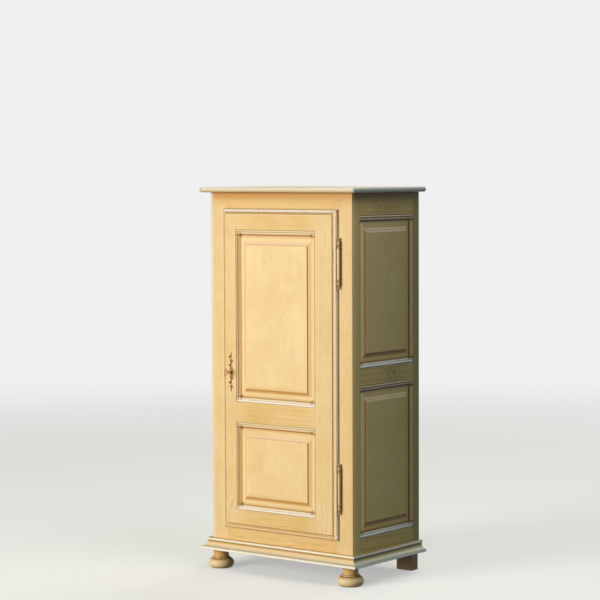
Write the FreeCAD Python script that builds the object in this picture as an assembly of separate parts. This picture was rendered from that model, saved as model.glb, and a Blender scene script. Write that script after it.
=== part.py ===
"""Bonnetiere: a tall French cabinet with one door, built as frames, panels, feet and hardware.

Units are millimetres and +Z is up. The origin is on the floor, at the centre of the cabinet's box
with its key in the lock. Depths are counted from the carcass's front plane, positive to the back.
"""
import FreeCAD, Part
import math
import os
from FreeCAD import Vector

# ---- Carcass ----
body_width = 686.0
body_depth = 437.0
total_height = 1500.0
foot_height = 75.0

top_thick = 20.0
top_overhang = 32.0
top_back_overhang = 2.0
top_nose_radius = 9.5

front_post_width = 75.5
front_post_depth = 46.0
rear_post_width = 55.0
rear_post_depth = 38.0
post_stub_side = 20.0
post_stub_height = 10.0

frame_thick = 25.0
front_top_rail_height = 74.0
front_bottom_rail_height = 105.0

side_top_rail_height = 85.0
side_middle_rail_height = 65.0
side_middle_rail_level = 754.0
side_bottom_rail_height = 101.0

back_rail_thick = 22.0
back_rail_height = 85.0
back_board_thick = 12.0
back_board_count = 5
back_board_lap = 23.0
board_gap = 0.6

floor_thick = 18.0
shelf_thick = 18.0
lower_shelf_level = 500.0
middle_shelf_level = 800.0
upper_shelf_level = 1100.0
cleat_side = 20.0
shelf_gap = 1.0

cut_past = 1.0

# ---- Panels and the moulding that frames them ----
sticking_width = 20.0
sticking_depth = 7.5
sticking_quirk = 1.5
sticking_fillet = 1.5
sticking_crown = 0.2
bead_width = 7.5
bead_sink = 2.5
groove_front = 9.8
groove_back = 18.2
groove_reach = 10.0
panel_gap = 0.2
panel_edge_gap = 0.8
panel_margin_depth = 10.0
panel_field_depth = 5.0
panel_step = 1.2
panel_cove_width = 13.0
raise_near = 26.0
raise_far = 22.0
raise_top = 40.0
raise_bottom = 33.0

# ---- Joinery ----
tenon_shoulder = 12.0
base_tenon_rise = 36.0
front_tenon_length = 35.0
side_tenon_length = 24.0
back_tenon_length = 28.0
door_tenon_length = 42.0
tenon_gap = 0.2
peg_radius = 4.5
peg_length = 34.0
door_peg_radius = 3.5
door_peg_length = 21.0
peg_gap = 0.05
peg_edge = 18.0

# ---- Base moulding ----
base_height = 44.0
base_overhang = 35.0
base_fillet_height = 10.0
base_fillet_step = 2.0
base_bead_overhang = 18.0
base_bead_height = 10.0
base_bead_set = 4.5
base_bead_round = 3.0
mitre_inside = 5.0

# ---- Feet ----
bun_radius = 50.5
bun_sole_radius = 40.0
bun_widest_level = 15.3
bun_shoulder_radius = 38.0
bun_shoulder_level = 37.0
bun_quirk_radius = 33.0
bun_quirk_height = 1.0
bun_collar_radius = 36.0
bun_collar_round = 1.0
bun_collar_height = 4.0
bun_neck_shoulder_radius = 31.0
bun_neck_radius = 30.0
bun_flare_radius = 33.5
bun_side_inset = 25.5
bun_front_inset = 19.5
bun_spigot_radius = 11.0
bun_spigot_length = 26.0
bun_socket_spare = 2.0
block_width = 70.0
block_depth = 44.0
block_side_inset = 6.0
block_spigot_side = 19.0

# ---- Door ----
door_thick = 25.0
door_proud = 15.0
door_lap = 10.0
door_rebate_gap = 1.0
door_seat_gap = 0.3
latch_stile_width = 70.5
hinge_stile_width = 98.5
door_top_rail_height = 79.0
door_middle_rail_height = 78.0
door_middle_rail_level = 588.0
door_bottom_rail_height = 74.5
edge_width = 18.6
edge_nose_width = 11.0
edge_flat_width = 0.6
edge_side_height = 4.6
edge_crown = 1.0
edge_cove_depth = 5.0
edge_step = 3.0

# ---- Hinges ----
upper_hinge_drop = 200.5
lower_hinge_rise = 196.0
hinge_offset = 8.5
hinge_stand = 8.8
knuckle_radius = 6.3
knuckle_length = 56.5
pin_radius = 3.0
pin_reach = 45.0
pin_gap = 0.05
leaf_thick = 2.4
leaf_reach = 30.0
leaf_margin = 3.0
leaf_gap = 0.2
leaf_pin_radius = 1.5
leaf_pin_spacing = 30.0
frame_leaf_pin_depth = 16.5
frame_leaf_pin_past = 15.0
door_leaf_pin_set = 18.0
finial_height = 41.0
finial_ring_radius = 8.3
finial_ring_round = 1.0
finial_waist_radius = 5.3
finial_waist_hollow = 0.5
finial_bead_radius = 7.4
finial_bead_round = 0.7
finial_vase_radius = 7.4
finial_ball_radius = 4.4
finial_spigot_length = 10.0

# ---- Lock, key and strike ----
lock_height = 782.0
lock_setback = 45.5
escutcheon_thick = 1.6
escutcheon_discs = (
    (0.0, 11.5), (7.0, 10.0), (21.0, 8.0), (33.0, 9.5),
    (46.0, 7.0), (57.0, 8.0), (67.0, 5.5), (74.0, 3.5),
)
escutcheon_piercings = ((21.0, 3.0), (57.0, 4.0))
escutcheon_stem_width = 5.0
escutcheon_pin_rises = (33.0, 67.0)
escutcheon_pin_radius = 1.0
escutcheon_pin_head = 1.9
escutcheon_pin_length = 9.0
case_edge_gap = 1.5
case_width = 53.0
case_depth = 16.0
case_drop = 24.0
case_rise = 36.0
case_wall = 2.0
case_flange = 15.0
bolt_height = 15.0
bolt_thick = 8.0
bolt_throw = 12.0
bolt_length = 50.0
bolt_lift = 7.5
bolt_gap = 0.3
bolt_front_set = 4.0
bolt_notch_gap = 1.0
tail_rest_width = 8.0
spring_thick = 0.6
spring_inset = 4.0
spring_side_gap = 1.0
bit_reach = 11.5
bit_length = 7.0
bit_thick = 2.5
key_shank_radius = 3.0
key_hole_gap = 0.6
key_tip_gap = 1.0
key_nose = 1.0
key_collar_radius = 5.0
key_collar_length = 3.0
key_collar_set = 2.0
key_bead_radius = 4.0
key_bead_length = 2.0
key_bead_set = 7.0
key_bow_seat = 1.0
ward_width = 1.4
ward_depth = 4.0
key_standout = 45.0
bow_height = 32.0
bow_depth = 23.0
bow_thick = 3.0
bow_wire = 4.5
strike_thick = 2.0
strike_height = 60.0
strike_depth = 22.0
strike_gap = 1.0
strike_pocket_spare = 2.0
lock_screw_radius = 1.75
lock_screw_head = 3.5
lock_screw_length = 13.0
lock_screw_inset = 8.0
strike_screw_length = 18.0
strike_screw_inset = 8.0

# ---- Places worked out from the sizes above ----
half_width = body_width / 2.0
key_reach = door_proud + door_seat_gap + escutcheon_thick + key_standout
front_plane = (key_reach - body_depth - top_back_overhang) / 2.0
top_under = total_height - top_thick
opening_half = half_width - front_post_width
opening_low = foot_height + front_bottom_rail_height
opening_high = top_under - front_top_rail_height
rear_opening_half = half_width - rear_post_width
inner_half = half_width - frame_thick
side_front_arris = front_post_depth
side_rear_arris = body_depth - rear_post_depth
back_rail_plane = body_depth - back_board_thick - back_rail_thick
shelf_levels = (lower_shelf_level, middle_shelf_level, upper_shelf_level)

door_half = opening_half + door_lap
door_low = opening_low - door_lap
door_high = opening_high + door_lap
door_plane = -door_proud - door_seat_gap
door_back_plane = door_plane + door_thick
latch_arris = -door_half + latch_stile_width
hinge_arris = door_half - hinge_stile_width

hinge_levels = (("upper", door_high - upper_hinge_drop), ("lower", door_low + lower_hinge_rise))
hinge_x = door_half + hinge_offset
hinge_depth = -hinge_stand
lock_x = -door_half + lock_setback
escutcheon_plane = door_plane - escutcheon_thick
case_left = -opening_half + door_rebate_gap + case_edge_gap
bolt_low = lock_height + bolt_lift
bolt_front = door_back_plane + bolt_front_set
strike_mid_depth = bolt_front + bolt_thick / 2.0
strike_mid_height = bolt_low + bolt_height / 2.0


# ---- Plain solids ----
def box(x_low, x_high, depth_low, depth_high, z_low, z_high):
    """A square-edged block; its depths are counted from the carcass's front plane."""
    corner = Vector(x_low, front_plane + depth_low, z_low)
    return Part.makeBox(x_high - x_low, depth_high - depth_low, z_high - z_low, corner)


def rod(radius, length, x, depth, z, along):
    """A round rod that starts at the given place and runs along a direction."""
    return Part.makeCylinder(radius, length, Vector(x, front_plane + depth, z), along)


def face_of(start, steps, place):
    """A flat face: a step of two numbers is a straight edge, a step of four is an arc's middle and end."""
    edges = []
    here = place(*start)
    for step in steps:
        there = place(*step[-2:])
        if len(step) == 4:
            edges.append(Part.Arc(here, place(*step[:2]), there).toShape())
        else:
            edges.append(Part.makeLine(here, there))
        here = there
    edges.append(Part.makeLine(here, place(*start)))
    return Part.Face(Part.Wire(edges))


def turned(start, steps, x, depth, z):
    """A lathe-turned solid about a vertical axis, from an outline of radii and heights."""
    def place(radius, height):
        return Vector(x + radius, front_plane + depth, z + height)
    return face_of(start, steps, place).revolve(place(0.0, 0.0), Vector(0, 0, 1), 360)


def joined(shapes):
    """One solid from touching shapes."""
    whole = shapes[0]
    for shape in shapes[1:]:
        whole = whole.fuse(shape)
    return whole.removeSplitter()


def cut_away(shape, holes):
    """The shape with each hole taken out of it."""
    for hole in holes:
        shape = shape.cut(hole)
    return shape


def save(node, shape):
    """Write one sub-part."""
    shape.exportStep("parts/" + node + ".step")


# ---- Frames with raised panels ----
class Frame:
    """A panelled frame: across runs along its face, up is the height, and sink goes into the wood."""

    def __init__(self, place, near, far, thick):
        self.place = place
        self.near = near
        self.far = far
        self.thick = thick

    def block(self, across, up, sink):
        """A square block between two values of across, up and sink."""
        steps = [(across[1], up[0]), (across[1], up[1]), (across[0], up[1])]
        face = face_of((across[0], up[0]), steps, lambda a, u: self.place(a, u, sink[0]))
        return face.extrude(self.place(0, 0, sink[1]) - self.place(0, 0, sink[0]))

    def groove(self, low, high):
        """The slot for a panel's edge, all round an opening."""
        across = (self.near + groove_reach, self.far - groove_reach)
        return self.block(across, (low + groove_reach, high - groove_reach), (groove_front, groove_back))

    def sticking(self, low, high, side):
        """The beaded edge on one side of a panel opening, with mitred ends."""
        corners = {
            "near": ((self.near, low), (self.near, high), (1, -1), (1, 1)),
            "far": ((self.far, low), (self.far, high), (-1, -1), (-1, 1)),
            "low": ((self.near, low), (self.far, low), (-1, 1), (1, 1)),
            "high": ((self.near, high), (self.far, high), (-1, -1), (1, -1)),
        }
        first, last, last_in, first_in = corners[side]
        mitre = [last]
        mitre.append((last[0] + last_in[0] * sticking_width, last[1] + last_in[1] * sticking_width))
        mitre.append((first[0] + first_in[0] * sticking_width, first[1] + first_in[1] * sticking_width))
        region = face_of(first, mitre, lambda a, u: self.place(a, u, 0.0))
        region = region.extrude(self.place(0, 0, self.thick) - self.place(0, 0, 0))

        if side in ("near", "far"):
            sign = first_in[0]
            outline = sticking_section(self.thick)
            section = face_of(*outline, lambda s, t: self.place(first[0] + sign * s, low, t))
            run = self.place(0, high, 0) - self.place(0, low, 0)
        else:
            sign = first_in[1]
            outline = sticking_section(self.thick)
            section = face_of(*outline, lambda s, t: self.place(self.near, first[1] + sign * s, t))
            run = self.place(self.far, 0, 0) - self.place(self.near, 0, 0)
        return section.extrude(run).common(region)

    def panel(self, low, high):
        """A raised panel: its surface is the lower of an across section and an up section."""
        edge = groove_reach + panel_edge_gap
        across = panel_section(self.near, self.far, edge, raise_near, raise_far)
        upward = panel_section(low, high, edge, raise_bottom, raise_top)
        run_up = self.place(0, high, 0) - self.place(0, low, 0)
        run_across = self.place(self.far, 0, 0) - self.place(self.near, 0, 0)
        one = face_of(*across, lambda a, t: self.place(a, low, t)).extrude(run_up)
        two = face_of(*upward, lambda u, t: self.place(self.near, u, t)).extrude(run_across)
        return one.common(two)


def sticking_section(thick):
    """Quirk, bead, fillet and falling bead, then square down to the back."""
    bead_end = sticking_quirk + bead_width
    bead_mid = (sticking_quirk + bead_end) / 2.0
    ledge = bead_sink + sticking_fillet
    fall_start = bead_end + sticking_fillet
    fall_end = sticking_width - sticking_fillet
    fall_mid = (fall_start + fall_end) / 2.0
    crown = sticking_crown
    steps = [
        (0.0, bead_sink),
        (sticking_quirk, bead_sink),
        (bead_mid, crown, bead_end, bead_sink),
        (bead_end, ledge),
        (fall_start, ledge),
        (fall_mid + crown, ledge + crown, fall_end, sticking_depth - crown),
        (fall_end, sticking_depth),
        (sticking_width, sticking_depth),
        (sticking_width, thick),
    ]
    return (0.0, thick), steps


def panel_section(low, high, edge, raise_low, raise_high):
    """A flat margin, a hollow rising to a small step, and the raised field."""
    margin = panel_margin_depth
    field = panel_field_depth
    lip = field + panel_step
    field_low = low + sticking_width + raise_low
    field_high = high - sticking_width - raise_high
    hollow_low = field_low - panel_cove_width
    hollow_high = field_high + panel_cove_width
    bend_share = 0.55
    bend_rise_share = 0.3
    bend = panel_cove_width * bend_share
    bend_depth = margin - (margin - lip) * bend_rise_share
    back = groove_back - panel_gap
    steps = [
        (low + edge, margin),
        (hollow_low, margin),
        (hollow_low + bend, bend_depth, field_low, lip),
        (field_low, field),
        (field_high, field),
        (field_high, lip),
        (hollow_high - bend, bend_depth, hollow_high, margin),
        (high - edge, margin),
        (high - edge, back),
    ]
    return (low + edge, back), steps


def door_place(across, up, sink):
    """A point of the door's frame, from its front face inwards."""
    return Vector(across, front_plane + door_plane + sink, up)


def right_place(across, up, sink):
    """A point of the right side frame."""
    return Vector(half_width - sink, front_plane + across, up)


def left_place(across, up, sink):
    """A point of the left side frame."""
    return Vector(-half_width + sink, front_plane + across, up)


def front_place(across, up, sink):
    """A point of the front frame."""
    return Vector(across, front_plane + sink, up)


def back_place(across, up, sink):
    """A point of the back frame; sink runs from the front face of the back rails."""
    return Vector(across, front_plane + back_rail_plane + sink, up)


door_frame = Frame(door_place, latch_arris, hinge_arris, door_thick)
side_frames = {
    "left": Frame(left_place, side_front_arris, side_rear_arris, frame_thick),
    "right": Frame(right_place, side_front_arris, side_rear_arris, frame_thick),
}
front_frame = Frame(front_place, -opening_half, opening_half, frame_thick)
back_frame = Frame(back_place, -rear_opening_half, rear_opening_half, back_rail_thick)

side_rails = {
    "bottom": (foot_height, foot_height + side_bottom_rail_height),
    "middle": (side_middle_rail_level, side_middle_rail_level + side_middle_rail_height),
    "top": (top_under - side_top_rail_height, top_under),
}
front_rails = {
    "bottom": (foot_height, opening_low),
    "top": (opening_high, top_under),
}
back_rails = {
    "bottom": (foot_height, foot_height + back_rail_height),
    "top": (top_under - back_rail_height, top_under),
}
door_rails = {
    "bottom": (door_low, door_low + door_bottom_rail_height),
    "middle": (door_middle_rail_level, door_middle_rail_level + door_middle_rail_height),
    "top": (door_high - door_top_rail_height, door_high),
}


def panel_openings(rails):
    """The heights of the lower and the upper panel opening, between three rails."""
    return (rails["bottom"][1], rails["middle"][0]), (rails["middle"][1], rails["top"][0])


side_openings = panel_openings(side_rails)
door_openings = panel_openings(door_rails)


def tenon_span(rail):
    """The heights that a rail's tenon takes; a base rail's tenon starts above the foot's spigot."""
    low, high = rail
    rise = base_tenon_rise if low == foot_height else tenon_shoulder
    return low + rise, high - tenon_shoulder


def tenon(frame, rail, end, length, gap):
    """A tenon on one end of a rail, or with a gap all round it, its mortise."""
    low, high = tenon_span(rail)
    start, sign = (frame.near, -1) if end == "near" else (frame.far, 1)
    across = sorted((start, start + sign * (length + gap)))
    sink = (groove_front + panel_gap - gap, groove_back - panel_gap + gap)
    return frame.block(across, (low - gap, high + gap), sink)


def plain_rail(frame, rail, length):
    """A rail between its two stiles or posts, with its tenons."""
    pieces = [frame.block((frame.near, frame.far), rail, (0.0, frame.thick))]
    for end in ("near", "far"):
        pieces.append(tenon(frame, rail, end, length, 0.0))
    return joined(pieces)


def moulded_rail(frame, rails, name, openings, length):
    """A rail of a panelled frame, with the beaded edge and the groove of each panel beside it."""
    lower, upper = openings
    beside = {
        "bottom": ((lower, "low"),),
        "middle": ((lower, "high"), (upper, "low")),
        "top": ((upper, "high"),),
    }[name]
    pieces = [plain_rail(frame, rails[name], length)]
    grooves = []
    for opening, side in beside:
        pieces.append(frame.sticking(*opening, side))
        grooves.append(frame.groove(*opening))
    return cut_away(joined(pieces), grooves)


# ---- Pegs ----
def peg_heights(rail):
    """Two pegs through a tenon: a third of a low tenon apart, or a set distance from a tall one's edges."""
    low, high = tenon_span(rail)
    edge = min(peg_edge, (high - low) / 3.0)
    return (low + edge, high - edge)


def pegs(frame, rails, tenon_length, radius, length):
    """The pegs of a frame, driven from its face and flush with it."""
    run = frame.place(0, 0, length) - frame.place(0, 0, 0)
    shapes = []
    for rail in rails:
        for across in (frame.near - tenon_length / 2.0, frame.far + tenon_length / 2.0):
            for height in peg_heights(rail):
                shapes.append(Part.makeCylinder(radius, length, frame.place(across, height, 0), run))
    return shapes


def carcass_peg_shapes(gap):
    """Every peg of the carcass, or with a gap, their holes."""
    radius = peg_radius + gap
    shapes = pegs(front_frame, front_rails.values(), front_tenon_length, radius, peg_length + gap)
    for frame in side_frames.values():
        shapes += pegs(frame, side_rails.values(), side_tenon_length, radius, peg_length + gap)
    depth = back_rail_thick + gap
    shapes += pegs(back_frame, back_rails.values(), back_tenon_length, radius, depth)
    return shapes


def door_peg_shapes(gap):
    """The door's pegs, driven from its face, or with a gap, their holes."""
    radius = door_peg_radius + gap
    return pegs(door_frame, door_rails.values(), door_tenon_length, radius, door_peg_length + gap)


carcass_peg_holes = carcass_peg_shapes(peg_gap)
door_peg_holes = door_peg_shapes(peg_gap)


def near_only(shape, holes):
    """The holes whose boxes meet the shape's box, so that each cut is a real one."""
    reach = shape.BoundBox
    return [hole for hole in holes if hole.BoundBox.intersect(reach)]


def pegged(shape):
    """A carcass piece with its peg holes."""
    return cut_away(shape, near_only(shape, carcass_peg_holes))


# ---- Feet ----
def bun_place(sign):
    """The axis of a front foot, as x and depth."""
    return sign * (half_width - bun_side_inset), bun_front_inset


def bun_foot(sign):
    """A turned bun foot: bulb, collar, neck and the spigot that enters the post."""
    x, depth = bun_place(sign)
    collar_start = bun_shoulder_level + bun_quirk_height
    collar_side = bun_collar_radius - bun_collar_round
    neck_start = collar_start + bun_collar_height
    spigot_end = foot_height + bun_spigot_length
    steps = [
        (bun_sole_radius, 0.0),
        (bun_radius, bun_widest_level, bun_shoulder_radius, bun_shoulder_level),
        (bun_quirk_radius, collar_start),
        (collar_side, collar_start),
        (bun_collar_radius, (collar_start + neck_start) / 2.0, collar_side, neck_start),
        (bun_neck_shoulder_radius, neck_start),
        (bun_neck_radius, (neck_start + foot_height) / 2.0, bun_flare_radius, foot_height),
        (bun_spigot_radius, foot_height),
        (bun_spigot_radius, spigot_end),
        (0.0, spigot_end),
    ]
    return turned((0.0, 0.0), steps, x, depth, 0.0)


def bun_socket(sign):
    """The hole in a front post for the bun foot's spigot."""
    x, depth = bun_place(sign)
    length = bun_spigot_length + bun_socket_spare
    return rod(bun_spigot_radius + peg_gap, length, x, depth, foot_height, Vector(0, 0, 1))


def block_spigot(sign, gap):
    """The square spigot on a block foot, or with a gap, its socket."""
    x_mid = sign * (half_width - rear_post_width / 2.0)
    half = block_spigot_side / 2.0 + gap
    depth_mid = body_depth - block_depth / 2.0
    return box(x_mid - half, x_mid + half, depth_mid - half, depth_mid + half,
               foot_height, foot_height + block_spigot_side + gap)


def block_foot(sign):
    """A square block foot under a rear post."""
    outer = sign * (half_width - block_side_inset)
    inner = outer - sign * block_width
    block = box(min(outer, inner), max(outer, inner), body_depth - block_depth, body_depth, 0.0, foot_height)
    return joined([block, block_spigot(sign, 0.0)])


# ---- Posts ----
def post_stub(sign, width, depth_mid, gap):
    """The short square tenon on a post's top, or with a gap, its mortise in the top board."""
    x_mid = sign * (half_width - width / 2.0)
    half = post_stub_side / 2.0 + gap
    return box(x_mid - half, x_mid + half, depth_mid - half, depth_mid + half,
               top_under, top_under + post_stub_height + gap)


def front_post(sign, frame):
    """A front post: it carries the front rails, the side rails, the bun foot and the top board."""
    x_range = sorted((sign * opening_half, sign * half_width))
    pieces = [box(*x_range, 0.0, front_post_depth, foot_height, top_under)]
    for opening in side_openings:
        pieces.append(frame.sticking(*opening, "near"))
    pieces.append(post_stub(sign, front_post_width, front_post_depth / 2.0, 0.0))
    holes = [frame.groove(*opening) for opening in side_openings]
    for rail in side_rails.values():
        holes.append(tenon(frame, rail, "near", side_tenon_length, tenon_gap))
    for rail in front_rails.values():
        holes.append(tenon(front_frame, rail, "near" if sign < 0 else "far", front_tenon_length, tenon_gap))
    holes.append(bun_socket(sign))
    return pegged(cut_away(joined(pieces), holes))


def rear_post(sign, frame):
    """A rear post: it carries the side and back rails, the block foot and the edge of the back boards."""
    inner = rear_opening_half
    x_range = sorted((sign * inner, sign * half_width))
    pieces = [box(*x_range, side_rear_arris, body_depth, foot_height, top_under)]
    for opening in side_openings:
        pieces.append(frame.sticking(*opening, "far"))
    pieces.append(post_stub(sign, rear_post_width, body_depth - rear_post_depth / 2.0, 0.0))
    holes = [frame.groove(*opening) for opening in side_openings]
    for rail in side_rails.values():
        holes.append(tenon(frame, rail, "far", side_tenon_length, tenon_gap))
    for rail in back_rails.values():
        holes.append(tenon(back_frame, rail, "near" if sign < 0 else "far", back_tenon_length, tenon_gap))
    rebate = sorted((sign * (inner - cut_past), sign * (inner + back_board_lap)))
    holes.append(box(*rebate, body_depth - back_board_thick, body_depth + cut_past, foot_height, top_under))
    holes.append(block_spigot(sign, tenon_gap))
    return pegged(cut_away(joined(pieces), holes))


def hinge_slots():
    """The slots in the right front post for the frame leaves of the hinges."""
    half = leaf_thick / 2.0 + leaf_gap
    slots = []
    for _, height in hinge_levels:
        low = height - knuckle_length + leaf_margin - leaf_gap
        slots.append(box(hinge_x - half, hinge_x + half, 0.0, leaf_reach + leaf_gap, low, height))
    return slots


# ---- Top board ----
def top_board():
    """One plank with a rounded edge on the front and both sides, and blind mortises for the posts."""
    half = half_width + top_overhang
    plank = box(-half, half, -top_overhang, body_depth + top_back_overhang, top_under, total_height)
    back = plank.BoundBox.YMax
    same = 0.01
    round_edges = []
    for edge in plank.Edges:
        is_level = edge.BoundBox.ZLength < same
        if is_level and back - edge.CenterOfMass.y > same:
            round_edges.append(edge)
    plank = plank.makeFillet(top_nose_radius, round_edges)
    holes = []
    for sign in (-1, 1):
        holes.append(post_stub(sign, front_post_width, front_post_depth / 2.0, tenon_gap))
        holes.append(post_stub(sign, rear_post_width, body_depth - rear_post_depth / 2.0, tenon_gap))
    return cut_away(plank, holes)


# ---- Base moulding ----
def base_section():
    """Lower fillet, wide hollow and upper bead, as overhang and height."""
    fillet_top = foot_height + base_fillet_height
    bead_bottom = foot_height + base_height - base_bead_height
    hollow_top = base_bead_overhang - base_bead_set
    hollow_low = base_overhang - base_fillet_step
    bead_side = base_bead_overhang - base_bead_round
    bend_share = 0.3
    bend_out = hollow_top + (hollow_low - hollow_top) * bend_share
    bend_up = fillet_top + (bead_bottom - fillet_top) * bend_share
    steps = [
        (base_overhang, foot_height),
        (base_overhang, fillet_top),
        (hollow_low, fillet_top),
        (bend_out, bend_up, hollow_top, bead_bottom),
        (bead_side, bead_bottom),
        (base_bead_overhang, bead_bottom + base_bead_height / 2.0, bead_side, foot_height + base_height),
        (0.0, foot_height + base_height),
    ]
    return (0.0, foot_height), steps


def corner_wedge(sign):
    """The space in front of the mitre at a front corner, as a tall prism that also enters the carcass."""
    reach = base_overhang + cut_past
    corner = sign * half_width
    start = (corner - sign * mitre_inside, mitre_inside)
    steps = [(corner + sign * reach, -reach), (0.0, -reach), (0.0, mitre_inside)]
    face = face_of(start, steps, lambda x, depth: Vector(x, front_plane + depth, foot_height))
    return face.extrude(Vector(0, 0, base_height))


def base_front_moulding():
    """The front length, mitred at both ends."""
    reach = half_width + base_overhang
    face = face_of(*base_section(), lambda out, z: Vector(-reach, front_plane - out, z))
    length = face.extrude(Vector(2.0 * reach, 0, 0))
    return length.common(joined([corner_wedge(-1), corner_wedge(1)]))


def base_side_moulding(sign):
    """A side length, mitred in front and square at the back."""
    start = -base_overhang
    face = face_of(*base_section(), lambda out, z: Vector(sign * (half_width + out), front_plane + start, z))
    length = face.extrude(Vector(0, body_depth - start, 0))
    return length.cut(corner_wedge(sign))


# ---- Inside ----
def back_boards():
    """Upright boards with narrow gaps, nailed to the back rails and lodged in the posts' rebates."""
    left = -rear_opening_half - back_board_lap + board_gap
    pitch = (2.0 * -left + board_gap) / back_board_count
    boards = []
    for index in range(back_board_count):
        start = left + index * pitch
        boards.append(box(start, start + pitch - board_gap,
                          body_depth - back_board_thick, body_depth, foot_height, top_under))
    return Part.makeCompound(boards)


def post_notches(opening, depth_low, depth_high, level, thick):
    """The notches at both ends of a board, round a pair of posts."""
    notches = []
    for sign in (-1, 1):
        across = sorted((sign * (opening - shelf_gap), sign * half_width))
        notches.append(box(*across, depth_low, depth_high, level - thick, level))
    return notches


def inside_board(depth_low, depth_high, level, thick):
    """A board between the side frames, notched round the rear posts."""
    edge = inner_half - shelf_gap
    board = box(-edge, edge, depth_low, depth_high, level - thick, level)
    rear_low = side_rear_arris - shelf_gap
    return cut_away(board, post_notches(rear_opening_half, rear_low, body_depth, level, thick))


def floor_board():
    """The floor, flush with the top of the front bottom rail and notched round the front posts too."""
    board = inside_board(frame_thick, back_rail_plane, opening_low, floor_thick)
    front_high = front_post_depth + shelf_gap
    return cut_away(board, post_notches(opening_half, 0.0, front_high, opening_low, floor_thick))


def shelf(level):
    """A shelf from behind the front posts to just before the back boards."""
    back = body_depth - back_board_thick - shelf_gap
    return inside_board(front_post_depth + shelf_gap, back, level, shelf_thick)


def shelf_cleats():
    """The square bearers under the shelves and the floor, fixed to the side frames."""
    bearers = []
    tops = [level - shelf_thick for level in shelf_levels] + [opening_low - floor_thick]
    for top in tops:
        for sign in (-1, 1):
            x_range = sorted((sign * (inner_half - cleat_side), sign * inner_half))
            bearers.append(box(*x_range, side_front_arris, side_rear_arris, top - cleat_side, top))
    return Part.makeCompound(bearers)


# ---- Door ----
def edge_section(low, high, rebate):
    """The door's outline across one direction: nose, hollow and step at each edge, rebated behind."""
    nose_share = 0.42
    nose_mid = edge_nose_width * nose_share
    cove_start = edge_nose_width
    cove_end = edge_width - edge_flat_width
    cove_mid = (cove_start + cove_end) / 2.0
    steps = [
        (low + rebate, door_proud),
        (low, door_proud),
        (low, edge_side_height),
        (low + nose_mid, edge_crown, low + cove_start, edge_step),
        (low + cove_mid, edge_cove_depth, low + cove_end, edge_step),
        (low + edge_width, edge_step),
        (low + edge_width, 0.0),
        (high - edge_width, 0.0),
        (high - edge_width, edge_step),
        (high - cove_end, edge_step),
        (high - cove_mid, edge_cove_depth, high - cove_start, edge_step),
        (high - nose_mid, edge_crown, high, edge_side_height),
        (high, door_proud),
        (high - rebate, door_proud),
        (high - rebate, door_thick),
    ]
    return (low + rebate, door_thick), steps


def door_envelope():
    """The whole door's outer form, which each of its members is trimmed to."""
    rebate = door_lap + door_rebate_gap
    across = edge_section(-door_half, door_half, rebate)
    upward = edge_section(door_low, door_high, rebate)
    run_up = Vector(0, 0, door_high - door_low)
    run_across = Vector(2.0 * door_half, 0, 0)
    one = face_of(*across, lambda a, t: door_place(a, door_low, t)).extrude(run_up)
    two = face_of(*upward, lambda u, t: door_place(-door_half, u, t)).extrude(run_across)
    return one.common(two)


def door_stile(end, envelope):
    """A door stile over the full height, with its mortises."""
    across = (-door_half, latch_arris) if end == "near" else (hinge_arris, door_half)
    pieces = [door_frame.block(across, (door_low, door_high), (0.0, door_thick))]
    for opening in door_openings:
        pieces.append(door_frame.sticking(*opening, end))
    holes = [door_frame.groove(*opening) for opening in door_openings]
    for rail in door_rails.values():
        holes.append(tenon(door_frame, rail, end, door_tenon_length, tenon_gap))
    stile = joined(pieces).common(envelope)
    return cut_away(stile, holes + near_only(stile, door_peg_holes))


def door_rail(name, envelope):
    """A door rail with its tenons and beaded edges."""
    rail = moulded_rail(door_frame, door_rails, name, door_openings, door_tenon_length)
    rail = rail.common(envelope)
    return cut_away(rail, near_only(rail, door_peg_holes))


# ---- Hinges ----
def knuckle(height, sign):
    """One half of a hinge barrel, above or below the middle, bored for the pin."""
    low = height if sign > 0 else height - knuckle_length
    barrel = rod(knuckle_radius, knuckle_length, hinge_x, hinge_depth, low, Vector(0, 0, 1))
    bore = rod(pin_radius + pin_gap, knuckle_length, hinge_x, hinge_depth, low, Vector(0, 0, 1))
    return barrel, bore


def leaf_pin_heights(height, sign):
    """Two pins through a leaf, either side of its middle."""
    middle = height + sign * knuckle_length / 2.0
    return (middle - leaf_pin_spacing / 2.0, middle + leaf_pin_spacing / 2.0)


def frame_knuckle(height):
    """The lower half, with the leaf that runs back into the post."""
    barrel, bore = knuckle(height, -1)
    half = leaf_thick / 2.0
    leaf = box(hinge_x - half, hinge_x + half, hinge_depth, leaf_reach,
               height - knuckle_length + leaf_margin, height - leaf_gap)
    holes = [bore] + frame_leaf_pins(height, pin_gap)
    return cut_away(joined([barrel, leaf]), holes)


def door_knuckle(height):
    """The upper half, with the leaf that runs into the door's edge."""
    barrel, bore = knuckle(height, 1)
    half = leaf_thick / 2.0
    leaf = box(door_half - leaf_reach, hinge_x, hinge_depth - half, hinge_depth + half,
               height + leaf_gap, height + knuckle_length - leaf_margin)
    holes = [bore] + door_leaf_pins(height, pin_gap)
    return cut_away(joined([barrel, leaf]), holes)


def door_leaf_slots():
    """The slots in the hinge stile for the door leaves."""
    half = leaf_thick / 2.0 + leaf_gap
    slots = []
    for _, height in hinge_levels:
        top = height + knuckle_length - leaf_margin + leaf_gap
        slots.append(box(door_half - leaf_reach - leaf_gap, door_half + cut_past,
                         hinge_depth - half, hinge_depth + half, height, top))
    return slots


def frame_leaf_pins(height, gap):
    """The pins that hold a frame leaf, driven from inside the cabinet."""
    length = hinge_x - opening_half + frame_leaf_pin_past + gap
    return [rod(leaf_pin_radius + gap, length, opening_half, frame_leaf_pin_depth, z, Vector(1, 0, 0))
            for z in leaf_pin_heights(height, -1)]


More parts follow.
